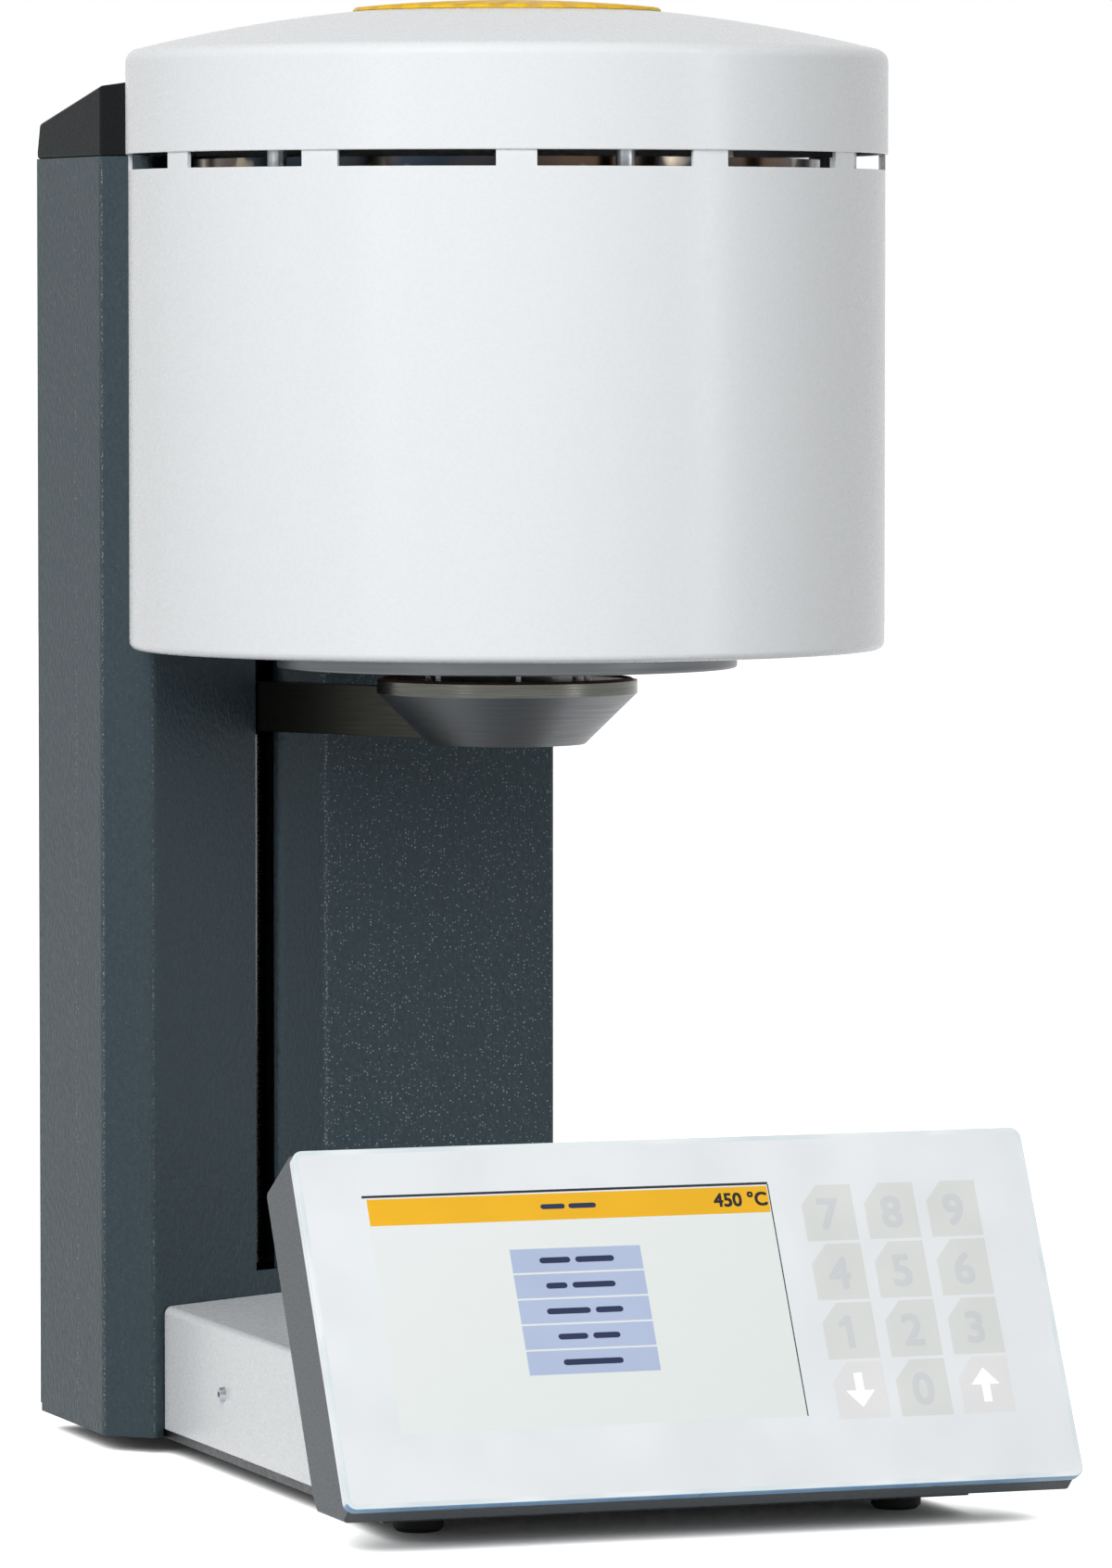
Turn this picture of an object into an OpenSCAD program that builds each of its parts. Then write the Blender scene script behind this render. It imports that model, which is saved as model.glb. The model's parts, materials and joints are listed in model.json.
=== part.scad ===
// Dental porcelain furnace, all sizes in millimetres.
// A round firing head hangs on an offset sheet-metal column, a lift in the column carries the firing
// table, and a white base tray stands behind a sloping glass control panel.
// Machine frame: +X right, +Y back, +Z up, head axis at X = Y = 0, underside of the base at Z = 0.
// The finished model is moved so that its box is centred over the origin and its feet stand on Z = 0.

/* [Head jacket and lid] */
// Outside radius of the white jacket
head_r = 140; // [136:0.5:150]
// Height of the jacket's lower edge over the base's underside
head_low_z = 298.3; // [280:0.1:340]
// Height of the jacket from its lower edge to the lid seam
jacket_h = 182.7; // [165:0.1:210]
// Sheet thickness of the jacket
jacket_t = 1.5; // [1:0.1:2.5]
// Radius of the jacket's rounded lower edge
jacket_edge_r = 3; // [2.6:0.1:5]
// Number of vent windows round the seam
vent_n = 12; // [8:1:14]
// Width of one vent window as an angle
vent_deg = 24; // [10:1:24]
// Height of a vent window
vent_h = 5.8; // [3:0.1:8]
// Turn of the first vent window from straight ahead
vent_turn = -3; // [-12:0.5:12]
// How far the lid stands out over the jacket
lid_over = 1; // [0.4:0.1:1.4]
// Height of the lid's upright band under its rounded shoulder
lid_band_h = 33.8; // [25:0.1:45]
// Wall of the lid
lid_t = 1.8; // [1.4:0.1:3]
// Radius of the lid's shoulder
shoulder_r = 5; // [3.5:0.1:8]
// Radius of the domed top
dome_r = 568; // [450:1:800]
// Radius of the ribbed badge disc on the dome
disc_r = 57; // [45:0.5:65]
// Height of the ribbed disc over the dome's crown
disc_proud = 1.4; // [1:0.1:3]
// Number of slanting ribs on the disc
rib_n = 24; // [12:1:36]

/* [Firing chamber] */
// Outside radius of the metal ring round the chamber's mouth
ring_r = 85.4; // [75:0.1:95]
// How far that ring hangs below the jacket
ring_drop = 6.9; // [4:0.1:12]
// Clear radius of the firing chamber
chamber_r = 42; // [41:0.1:44]
// Wall of the quartz muffle tube
muffle_t = 3; // [2:0.1:4]
// Inside height of the muffle tube
muffle_h = 74; // [66:0.5:90]
// Outside radius of the ceramic fibre insulation
insulation_r = 95; // [85:0.5:97]
// Thickness of the fibre roof over the chamber
roof_t = 25; // [15:0.5:35]
// Radius of the heating wire
coil_wire_r = 1.2; // [0.8:0.1:1.6]
// Turns of the heating winding
coil_turns = 10; // [6:1:12]
// Inside radius of the polished heat shield
shield_r = 115; // [108:0.5:117]

/* [Column] */
// Distance of the column's left face from the head axis
column_left = 130.8; // [125:0.1:136]
// Distance of the column's right face from the head axis
column_right = 61.7; // [58:0.1:90]
// Distance of the column's straight front face behind the head axis
column_front = 119.8; // [119.2:0.1:122]
// Distance of the column's back face behind the head axis
column_back = 170; // [168:0.5:190]
// Distance of the slanting, slotted face from the head axis
slant_dist = 119.5; // [118.5:0.1:120.4]
// Turn of the slanting face from straight ahead
slant = 30; // [28:0.5:31]
// Width and depth of the corner cut between the left and the slanting face
corner_cut = 15.4; // [8:0.1:20]
// Sheet thickness of the column
column_t = 2; // [1.5:0.1:2.2]
// Width of the slot that the lift arm runs in
slot_w = 14.2; // [13.2:0.1:18]
// Depth of the returned edge on the slot's right side
slot_return = 3.6; // [3:0.1:4]
// Height of the black cap's back edge over the column
cap_back_h = 13.5; // [8:0.1:20]
// Height of the black cap's front over the column
cap_front_h = 29; // [22:0.1:32]
// Wall of the black cap
cap_t = 2.5; // [2:0.1:4]

/* [Lift] */
// Radius of the firing table's rim
table_r = 48.4; // [47:0.1:54]
// Height of the table's upright rim
table_rim_h = 4.9; // [3:0.1:8]
// Height of the table's cone
table_cone_h = 19; // [17:0.1:19]
// Gap between table and ring in the pictured position
table_gap = 4.6; // [4:0.1:8]
// Height of the lift arm
arm_h = 18.7; // [14:0.1:18.7]
// Thickness of the lift arm
arm_w = 12; // [8:0.1:12]
// Travel of the table down from the pictured position
lift_down = 200; // [150:1:202]
// Radius of the firing plinth
plinth_r = 38; // [30:0.1:39]
// Height of the firing plinth
plinth_h = 20; // [14:0.5:22]
// Height of the pins that carry the plinth over the table
pin_h = 6; // [5:0.1:7]
// Radius of the pins
pin_r = 1.1; // [0.8:0.1:1.5]
// Radius of the round seal's section
seal_r = 1.3; // [1:0.1:1.5]
// Distance of the spindle behind the slanting face
spindle_in = 30.5; // [30:0.5:33]
// Radius of the lift spindle
spindle_r = 5; // [4:0.5:5]
// Radius of the two guide rods
rod_r = 5; // [4:0.5:5]
// Distance of each guide rod from the spindle
rod_off = 26; // [25:0.5:27]
// Height of the carriage
carriage_h = 50; // [40:1:52]
// Radial clearance of shafts in their bushes and bearings
run_gap = 0.05; // [0.02:0.01:0.1]

/* [Base] */
// Width of the base tray
base_w = 221.4; // [200:0.1:230]
// Height of the base tray's top over the base's underside
base_h = 49.3; // [48:0.1:52]
// Sheet thickness of the base tray
base_t = 1.5; // [1:0.1:2.5]
// Thickness of the bottom plate
plate_t = 3; // [2:0.1:4]
// Radius of a rubber foot
foot_r = 9; // [6:0.5:12]
// Height of a rubber foot
foot_h = 6; // [4:0.5:12]

/* [Control panel] */
// Width of the glass front
glass_w = 276; // [270:0.5:276]
// Height of the glass front along its slope
glass_h = 134; // [130:0.5:150]
// Thickness of the glass front
glass_t = 4; // [3:0.1:6]
// Radius of the glass's corners
glass_corner_r = 4; // [2:0.1:8]
// How far the housing's ends lie inside the glass
housing_inset = 2; // [0:0.1:6]
// Depth of the panel from the glass's face to its back
panel_depth = 40; // [36:0.1:50]
// Wall of the panel housing
housing_t = 2.5; // [2:0.1:4]
// Lean of the panel from upright
panel_tilt = 27.35; // [20:0.05:35]
// Distance of the glass's lower edge in front of the head axis
glass_low_y = 225.3; // [215:0.1:240]
// Height of the glass's lower edge over the base's underside
glass_low_z = 10.9; // [9:0.1:16]
// Width of the display's active area
screen_w = 151; // [120:0.5:155]
// Height of the display's active area
screen_h = 87.5; // [70:0.5:92]
// Share of the free width of the glass that lies left of the screen
free_left = 0.42; // [0.35:0.01:0.5]
// Share of the free width of the glass that lies between the screen and the keys
free_between = 0.205; // [0.2:0.005:0.25]
// Distance of the screen's lower edge from the glass's lower edge
screen_low = 27.2; // [22:0.1:32]
// Side of one touch key
key_w = 19.6; // [14:0.1:21]
// Spacing of the touch keys across
key_pitch_x = 23.9; // [22:0.1:24]
// Spacing of the touch keys up the glass
key_pitch_z = 22.5; // [22:0.1:24]

/* [Rear connections] */
// Height of the mains inlet over the base's underside
inlet_z = 50; // [30:0.5:60]
// Distance of the mains inlet right of the head axis
inlet_x = 30; // [26:0.5:34]
// Height of the mains switch over the base's underside
switch_z = 86; // [80:0.5:100]
// Lean of the rocker in its off position
rocker_lean = 8; // [5:0.5:10]
// Outside radius of the vacuum hose barb
barb_r = 4; // [3:0.1:5]
// Length of the barb behind its flange
barb_l = 14; // [10:0.5:20]
// Height of the vacuum port over the base's underside
vacuum_z = 330; // [300:0.5:350]
// Side of the square cooling fan
fan_w = 60; // [50:1:60]
// Depth of the cooling fan
fan_d = 15; // [10:0.5:20]

/* [Hidden] */
$fn = 96;

white = "#eceef0";
anthracite = "#4c5a60";
black = "#1d2022";
yellow = "#f2c63c";
steel = "#b9bdc0";
dark_steel = "#6d6f70";
fibre = "#f1ede2";
brass = "#c9a44c";
board_green = "#1e6b43";

// Clearance of pieces that pass each other with play, and gap between pieces that meet
play = 0.4;
joint_gap = 0.2;

// Overshoot of a cut past a face, and overlap of shapes that are joined into one
cut = 1;
lap = 0.01;

// Sides of round shapes with a small section
small_fn = 32;

// Thickness of the circuit boards
board_t = 1.6;

// Heights along the head
seam_z = head_low_z + jacket_h;
ring_low_z = head_low_z - ring_drop;
head_plate_t = 3;
head_plate_z = head_low_z + jacket_t + 3;
head_floor_z = head_plate_z + head_plate_t;
muffle_top_z = head_plate_z + muffle_h;
roof_top_z = muffle_top_z + roof_t;
roof_plate_t = 2;
roof_plate_top_z = roof_top_z + roof_plate_t;
shield_t = 0.8;
shield_top_z = seam_z - 2;

// Inside radius of the jacket's lower plate, round the chamber's ring
jacket_mouth_r = ring_r + 0.6;

// Lid: shoulder arc between the upright band and the dome
lid_r = head_r + lid_over;
shoulder_z = seam_z + lid_band_h;
shoulder_c = lid_r - shoulder_r;
dome_c_z = shoulder_z - sqrt(pow(dome_r - shoulder_r, 2) - pow(shoulder_c, 2));
shoulder_end = acos(shoulder_c / (dome_r - shoulder_r));
crown_z = dome_c_z + dome_r;

// Disc on the dome: its clearance over the lid, and its tapered ribs that slant from the rim's line
disc_gap = 0.15;
disc_depth = 12;
rib_slant = 28;
rib_l = 0.8 * disc_r;
rib_start_r = 0.72 * disc_r;
rib_back = 0.34 * disc_r;
rib_w = [1.2, 2.4];

// Posts stand midway between the heat shield and the jacket and carry the lid
post_r = 3.5;
post_at = (shield_r + shield_t + head_r - jacket_t) / 2;
post_top_z = dome_c_z + sqrt(pow(dome_r - lid_t, 2) - pow(post_at + post_r, 2)) - 0.3;

// Heating winding round the muffle tube
coil_mid = chamber_r + muffle_t + coil_wire_r + 1;
coil_low_z = head_floor_z + 3;
coil_pitch = (muffle_top_z - coil_low_z - 5) / coil_turns;
coil_rings = 20;
coil_sides = 6;

// Tie rods through the insulation's rim
tie_r = 2.5;
tie_at = insulation_r + 5;
tie_angles = [45:90:315];
tie_end = 8;
tie_nut_r = 4.6;
tie_nut_h = 4;

// Thermocouple down the chamber's axis
probe_r = 1.6;
probe_in = 12;
probe_head_r = 6;
probe_head_h = 9;

// Lift heights in the pictured position
table_top_z = ring_low_z - table_gap;
table_rim_z = table_top_z - table_rim_h;
table_low_z = table_rim_z - table_cone_h;
arm_top_z = table_rim_z + 0.8;
arm_low_z = arm_top_z - arm_h;
carriage_low_z = arm_low_z - 2;

// Travel up from the pictured position, until the seal is pressed on the ring
seal_proud = 1.1;
lift_up = table_gap - seal_proud;

// Groove of the seal in the table's top
seal_mid = (chamber_r + table_r) / 2 + 0.5;
seal_room = seal_r + 0.1;
seal_z = table_top_z + 0.85 - seal_r;

// The plinth stands on pins that reach a little way into its underside
pin_n = 6;
pin_turn = -12;
pin_in = 1;
pin_play = 0.15;
pin_at = plinth_r - 6;
pin_fn = 24;

// Slot of the lift arm
slot_low_z = arm_low_z - lift_down - 5.4;
slot_top_z = arm_top_z + lift_up + 9;

// Lift plan, in the frame turned to the slanting face
spindle_y = slant_dist + spindle_in;
carriage_half_d = 13;
carriage_front_y = spindle_y - carriage_half_d;
carriage_half_w = rod_off + 11;
lift_plate_y = spindle_y + 22;
lift_plate_t = 3;
lift_plate_left = rod_off + 16;
lift_plate_right = rod_off - 2;
lift_plate_h = seam_z - 60;
lift_foot = [18, 22, 3];
block_right = rod_off + 8;
block_t = 9;
lower_block_z = base_h + 0.7;
upper_block_z = carriage_low_z + carriage_h + lift_up + 18;

// Fits round the rods and the spindle
bush_r = rod_r + 3;
bush_l = 16;
nut_r = spindle_r + 3.5;
nut_l = 26;
bearing_r = spindle_r + 6;
bearing_in = 1;
nut_flange_r = nut_r + 4;
nut_flange_t = 3;

// Arm: its end past the head axis, its foot plate and the screws through it
arm_reach = 14;
foot_plate_t = 8;
foot_plate_w = 40;
foot_plate_y = carriage_front_y - foot_plate_t;
arm_screw_x = 13;
arm_screw_z = [10, carriage_h - 10];
arm_screw_r = 2;
arm_screw_l = foot_plate_t + 4;
arm_screw_head_r = 3.6;
arm_screw_head_h = 3;
counterbore = 3.5;

// Lift motor under the spindle
motor_w = 42;
motor_across = 52;
motor_h = 30;
motor_cap_h = 3;
motor_z = plate_t + motor_cap_h;
coupling_z = motor_z + motor_h + 1.5;
coupling_r = spindle_r + 4;
coupling_floor = 5;
coupling_slot = [6, 12, 0.8];
coupling_slot_z = 2.5;
coupling_slot_step = 2;
motor_hole_at = 22;
motor_hole_r = 1.5;
motor_hole_l = 5;

// Limit switches on the lift's plate
limit_body = [20, 7, 10];
limit_lever = [3, 1.5, 2];
limit_lever_at = [6, 4];
limit_z = [lower_block_z + block_t + 4, upper_block_z - 16];
limit_x = -rod_off - 8;

// Panel
housing_half_w = glass_w / 2 - housing_inset;
cable_hole_r = 9;
cable_hole_z = 40;
keys_w = 2 * key_pitch_x + key_w;
keys_h = 3 * key_pitch_z + key_w;
free_w = glass_w - screen_w - keys_w;
screen_x = -glass_w / 2 + free_w * free_left;
keys_x = screen_x + screen_w + free_w * free_between;
keys_z = screen_low - 1.8;
bezel = 4;
display_t = 5;
display_back_t = 3;

// Key board behind the glass: its rim past the keys and the sensing pads
keypad_rim = 1.5;
key_pad_r = 4;
key_pad_t = 1.2;

// Board behind the display on four standoffs, with its larger components as place and size
controller_w = 118;
controller_h = 68;
standoff_r = 3;
standoff_bore_r = 1.6;
standoff_h = 7;
standoff_in = 5;
chips = [[-22, -8, 22, 22], [18, -18, 16, 12], [28, 10, 12, 16], [-50, -25, 10, 46]];
chip_t = 4;

// Base: front edge of the bottom plate, clear of the panel's back
plate_front_y = panel_back_y(0) + 3;
foot_x = base_w / 2 - 20;
foot_back_y = column_back - 15;
foot_front_y = -foot_back_y - 8;
foot_edge = 1.5;
foot_stem_r = 2.4;
foot_hole_r = 2.5;
foot_barb = 1;
foot_top_h = foot_h + plate_t + 2;

// Stay of the panel on the bottom plate
stay_w = 120;
stay_t = 2;
stay_foot = 30;
stay_top_z = base_h - 8;

// Screws that hold the covers
screw_r = 1.5;
screw_l = 5;
screw_in = 6;
back_screw_z = [20, 200, 340, seam_z - 12];
base_screw_y = [-100, 0];

// Rear
back_t = 1.5;
back_in_y = column_back - back_t;

// Brackets that carry the head on the column's two front faces
bracket_t = 3;
bracket_w = 31;
bracket_h = 70;
bracket_foot = 18;
bracket_foot_t = head_plate_z - head_low_z - jacket_t;
bracket_hole_r = 2.6;
bracket_hole_z = [25, 55];
bracket_x = min(column_right - 5, room_in_jacket(column_front)) - bracket_w;
bracket_left = min(62, room_in_jacket(slant_dist));

// Vacuum line, level, from the chamber to the port in the back
vacuum_x = min(5, bracket_x - 8);
port_flange_t = 3;
port_flange_r = 9;
port_bore_r = 2.2;
port_thread_r = 4.8;
port_thread_l = 10;
rear_y = column_back + port_flange_t + barb_l;
hose_r = 3.5;
hose_bore_r = 2;
hose_hole_r = 6;
valve_w = 24;
valve_d = 22;
valve_coil_w = 18;
valve_coil_h = 26;
valve_coil_y = 2;
valve_lug = [18, 6, 3];
valve_lug_z = -10;
valve_y = column_front + column_t + valve_lug[1];

// Cooling fan and its grille of level slots
fan_x = 12;
fan_z = seam_z - 41;
fan_y = back_in_y - fan_d;
fan_r = fan_w / 2 - 2.5;
fan_hub_r = 12;
fan_axle_r = 2;
fan_hole_r = 2.1;
fan_hole_in = 5;
blade_n = 7;
blade_t = 1.2;
blade_w = 9.2;
blade_twist = 38;
grille_r = fan_w / 2 - 4;
grille_pitch = 7;
grille_slot_h = 4;
grille_rib = 3;

// Louvres of the back plate
louvre_x = -112;
louvre_step = 42;
louvre_w = 32;
louvre_n = 9;
louvre_pitch = 9;
louvre_h = 3.5;
louvre_top_z = seam_z - 60;

// Power board
board_x = 15;
board_z = 120;
board_w = 80;
board_h = 110;
board_y = back_in_y - 18;
board_boss_in = 6;
board_boss_r = 3;

// Components of the power board as size and as place on the board
relay = [26, 18, 34];
relay_at = [-30, 40];
filter = [20, 14, 16];
filter_at = [6, 20];
capacitor_r = 6;
capacitor_h = 16;
capacitor_x = 20;
capacitor_z = [50, 66];
lead_clamp = [22, 12, 12];
lead_clamp_z = board_z + board_h - 18;

// Heater leads, side by side: their level run and their way through the column's front
lead_r = 1.8;
lead_x = 24;
lead_step = 12;
lead_z = roof_plate_top_z + 9;
lead_start_y = 62;
lead_turn_y = board_y - 14;
lead_turn_r = 6;
lead_end_z = board_z + board_h - 6;
lead_room = 8;

// Terminal block on the roof plate
terminal = [40, 18, 16];
terminal_y = 44;
terminal_hole_r = 2.2;
terminal_hole_y = 5;

// Ring-core transformer
core_x = 25;
core_y = -25;
core_r = 48;
core_hole_r = 14;
core_h = 34;
core_edge = 5;
core_step = 4;
core_bolt_r = 4;
core_washer_r = 20;
core_washer_t = 2;

// Bodies of the mains inlet, the switch and the fuse holder, which pass through the back plate
inlet_body = [27, 19.6];
inlet_cavity = [24, 16.4];
inlet_flange_t = 2.5;
inlet_flange_half = [24.5, 11.5];
inlet_flange_flat = [15, 4];
inlet_in = 20;
inlet_cavity_in = 16;
inlet_pin = [2, 4];
inlet_pins = [[-7, -2.5], [7, -2.5], [0, 1.5]];
inlet_pin_top_y = column_back - 5.5;
tab = [6.4, 7, 0.8];
tab_z = -2.4;
tab_step = 7;
ear_x = 20;
ear_hole_r = 1.7;
switch_body = [27, 18.8];
switch_flange = [31, 2, 23];
switch_cavity = [22, 16];
switch_in = 14;
switch_cavity_in = 12;
fuse_x = -8;
fuse_body_r = 6.4;
fuse_cap_r = 6.2;
fuse_flange_r = 8;
fuse_in = 28;
fuse_flange_t = 2;
fuse_cap_h = 4;
fuse_slot = [10, 1.2, 1.5];

// Rocker on its pivot
pivot_y = column_back - 2;
pivot_r = 1.2;
pivot_l = 24.8;
rocker_w = 21.2;
rocker_side = [[-3, -6.6], [4.2, -7.2], [2.4, 0], [4.2, 7.2], [-3, 6.6], [-5, 0]];

// The box is centred over the origin in Y
origin_y = (glass_low_y - rear_y) / 2;

// Plan of the column, drawn in by g on every side
slant_end = column_left - corner_cut;
corner_sum = (slant_dist - slant_end * sin(slant)) / cos(slant) - slant_end;
function slant_line_y(x, g) = (slant_dist + g + x * sin(slant)) / cos(slant);
function column_plan(g) =
  let (left = column_left - g, right = column_right - g, back = column_back - g,
       front = column_front + g, sum = corner_sum + g * sqrt(2),
       corner_x = (sum - (slant_dist + g) / cos(slant)) / (1 + tan(slant)),
       bend_x = (front * cos(slant) - slant_dist - g) / sin(slant))
  [[-left, back], [-left, sum + left], [corner_x, sum - corner_x], [bend_x, front],
   [right, front], [right, back]];

// Points of a rectangle with round corners, centred in X and standing on Y = 0
function round_rect(w, h, r) = [
  for (c = [[w / 2 - r, r, -90], [w / 2 - r, h - r, 0], [-w / 2 + r, h - r, 90], [-w / 2 + r, r, 180]])
    for (k = [0:4]) [c[0] + r * cos(c[2] + k * 22.5), c[1] + r * sin(c[2] + k * 22.5)]];

// Depth in Y of the panel's back face at height z
function panel_back_y(z) =
  -glass_low_y + (panel_depth + sin(panel_tilt) * (z - glass_low_z)) / cos(panel_tilt);

// Half width that the jacket leaves free inside it at a distance behind the head axis
function room_in_jacket(y) = sqrt(pow(head_r - jacket_t - 3, 2) - y * y);

function reversed(list) = [for (k = [len(list) - 1:-1:0]) list[k]];

module machine() translate([0, origin_y, foot_h]) children();

// Frame turned to the slanting face: +Y runs from the head axis square to that face
module lift_space() machine() rotate([0, 0, slant]) children();

// Frame of the glass: X across, Y into the panel, Z up the slope from the glass's lower edge
module panel_space() machine()
  translate([0, -glass_low_y, glass_low_z]) rotate([-panel_tilt, 0, 0]) children();

// A shape drawn as depth and height, run across the machine
module across(w) rotate([90, 0, 90]) linear_extrude(w, center = true) children();

// A cylinder that lies along +Y
module lying(r, h, sides = $fn) rotate([-90, 0, 0]) cylinder(r = r, h = h, $fn = sides);

module tube(r_out, r_in, h) difference() {
  cylinder(r = r_out, h = h);
  translate([0, 0, -cut]) cylinder(r = r_in, h = h + 2 * cut);
}

// A screw with a cap head, standing on its head's seat and pointing down
module screw(r, l) {
  cylinder(r = 1.8 * r, h = 1.4 * r);
  translate([0, 0, -l]) cylinder(r = r, h = l + lap);
}

// Base

function foot_places() = [
  [-foot_x, foot_front_y], [foot_x, foot_front_y], [-foot_x, foot_back_y], [foot_x, foot_back_y]];

module base_plan() translate([-base_w / 2, plate_front_y]) square([base_w, column_back - plate_front_y]);

module base_plate() color(black) machine() difference() {
  union() {
    linear_extrude(plate_t) difference() {
      base_plan();
      translate([-base_w / 2 - cut, slant_line_y(-base_w / 2, 0)])
        square([base_w / 2 - column_left + column_t + play + cut, column_back]);
    }
    linear_extrude(plate_t) polygon(column_plan(column_t + play));
  }
  for (f = foot_places()) translate([f[0], f[1], -cut]) cylinder(r = foot_hole_r, h = plate_t + 2 * cut);
}

// Feet with a chamfered tread and a barbed stem that snaps through the bottom plate
module rubber_feet() color(black) machine() for (f = foot_places()) translate([f[0], f[1], -foot_h])
  rotate_extrude() polygon([
    [0, 0], [foot_r - foot_edge, 0], [foot_r, foot_edge], [foot_r, foot_h], [foot_stem_r, foot_h],
    [foot_stem_r, foot_h + plate_t], [foot_stem_r + foot_barb, foot_h + plate_t],
    [foot_stem_r, foot_top_h], [0, foot_top_h]]);

// Side view of the tray, drawn in by g, with its front along the panel's back
module base_side(g) {
  low_z = plate_t - (g > 0 ? cut : 0);
  front_gap = (g + joint_gap) / cos(panel_tilt);
  polygon([
    [panel_back_y(plate_t) + front_gap, low_z], [column_back - g, low_z], [column_back - g, base_h - g],
    [panel_back_y(base_h - g) + front_gap, base_h - g]]);
}

module base_cover() color(white) machine() difference() {
  across(base_w) base_side(0);
  difference() {
    across(base_w - 2 * base_t) base_side(base_t);
    linear_extrude(base_h) polygon(column_plan(-base_t - play));
  }
  translate([0, 0, -cut]) linear_extrude(base_h + 2 * cut) polygon(column_plan(-play));
  case_screw_holes();
}

// Stay behind the tray's slanting front: a foot on the bottom plate and a leaning wedge
module panel_bracket() color(steel) machine() {
  low_y = panel_back_y(plate_t + stay_t) + base_t;
  top_y = panel_back_y(stay_top_z) + base_t;
  translate([-stay_w / 2, panel_back_y(plate_t) + 8, plate_t]) cube([stay_w, stay_foot, stay_t]);
  across(stay_w) polygon([
    [low_y + 2, plate_t], [low_y + 12, plate_t], [top_y + 3, stay_top_z], [top_y + 0.8, stay_top_z]]);
}

// Screws of one size that hold the covers
module case_screws() color(steel) machine() at_case_screws() screw(screw_r, screw_l);

module at_case_screws() {
  for (x = [-column_left + screw_in, column_right - screw_in], z = back_screw_z)
    translate([x, column_back, z]) rotate([-90, 0, 0]) children();
  for (y = base_screw_y, s = [-1, 1])
    translate([s * base_w / 2, y, base_h / 2]) rotate([0, s * 90, 0]) children();
}

module case_screw_holes() at_case_screws()
  translate([0, 0, -base_t - cut]) cylinder(r = screw_r + joint_gap, h = base_t + 2 * cut);

// Panel

// Housing with a slanting chin, a level underside and a small crest over the glass
module panel_housing() color(anthracite) panel_space() {
  chin = glass_t + 7;
  chin_low = -0.7;
  sole = 27;
  drop = chin_low + sole * tan(panel_tilt);
  crest = glass_t + 5.5;
  edge = 1.5;
  skin = housing_t + 0.8;
  difference() {
    across(2 * housing_half_w) polygon([
      [glass_t, 1], [chin, chin_low], [chin + sole, drop], [panel_depth, drop + 7],
      [panel_depth, glass_h - edge], [panel_depth - edge, glass_h], [crest, glass_h + 2],
      [glass_t, glass_h - 0.5]]);
    across(2 * (housing_half_w - housing_t)) polygon([
      [glass_t - cut, 4], [chin, chin_low + skin], [chin - 0.5 + sole, drop + skin],
      [panel_depth - housing_t, drop + 8], [panel_depth - housing_t, glass_h - edge - housing_t],
      [crest, glass_h - housing_t], [glass_t - cut, glass_h - housing_t - 0.5]]);
    translate([0, panel_depth - housing_t - cut, cable_hole_z]) lying(cable_hole_r, housing_t + 2 * cut);
  }
}

module panel_glass() color("#e9eeee") panel_space() translate([0, glass_t, 0]) rotate([90, 0, 0])
  linear_extrude(glass_t) polygon(round_rect(glass_w, glass_h, glass_corner_r));

module display_module() color(black) panel_space() {
  translate([screen_x - bezel, glass_t, screen_low - bezel])
    cube([screen_w + 2 * bezel, display_t, screen_h + 2 * bezel]);
  translate([screen_x + 2 * bezel, glass_t + display_t, screen_low + 2 * bezel])
    cube([screen_w - 4 * bezel, display_back_t, screen_h - 4 * bezel]);
}

module keypad_board() color(board_green) panel_space() {
  translate([keys_x - keypad_rim, glass_t, keys_z - keypad_rim])
    cube([keys_w + 2 * keypad_rim, board_t, keys_h + 2 * keypad_rim]);
  for (i = [0:2], j = [0:3])
    translate([keys_x + i * key_pitch_x + key_w / 2, glass_t + board_t, keys_z + j * key_pitch_z + key_w / 2])
      lying(key_pad_r, key_pad_t);
}

module controller_board() color(board_green) panel_space()
  translate([screen_x + screen_w / 2, glass_t + display_t + display_back_t, screen_low + screen_h / 2]) {
    for (sx = [-1, 1], sz = [-1, 1])
      translate([sx * (controller_w / 2 - standoff_in), 0, sz * (controller_h / 2 - standoff_in)])
        rotate([-90, 0, 0]) tube(standoff_r, standoff_bore_r, standoff_h);
    translate([-controller_w / 2, standoff_h, -controller_h / 2])
      cube([controller_w, board_t, controller_h]);
    for (c = chips) translate([c[0], standoff_h + board_t, c[1]]) cube([c[2], chip_t, c[3]]);
  }

// Column

module column_shell() color(anthracite) machine() {
  difference() {
    linear_extrude(seam_z) difference() {
      polygon(column_plan(0));
      polygon(column_plan(column_t));
      translate([-column_left - cut, back_in_y])
        square([column_left + column_right + 2 * cut, back_t + cut]);
      translate([-column_left + column_t, back_in_y - 2 * column_t])
        square([column_left + column_right - 2 * column_t, back_t + 2 * column_t + cut]);
    }
    slot_cut();
    translate([0, 0, -cut]) linear_extrude(plate_t + play + cut)
      translate([-base_w / 2 - play, 0]) square([base_w + 2 * play, column_back]);
    translate([lead_x - lead_room, column_front - cut, lead_z - lead_room])
      cube([lead_step + 2 * lead_room, column_t + 2 * cut, 2 * lead_room]);
    translate([vacuum_x, column_front - cut, vacuum_z]) lying(hose_hole_r, column_t + 2 * cut);
  }
  slot_edge();
}

module slot_cut() rotate([0, 0, slant]) translate([-slot_w / 2, slant_dist - cut, slot_low_z])
  cube([slot_w, column_t + 2 * cut, slot_top_z - slot_low_z]);

module slot_edge() rotate([0, 0, slant]) translate([slot_w / 2, slant_dist + column_t / 2, slot_low_z])
  cube([column_t, slot_return - column_t / 2, slot_top_z - slot_low_z]);

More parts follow.
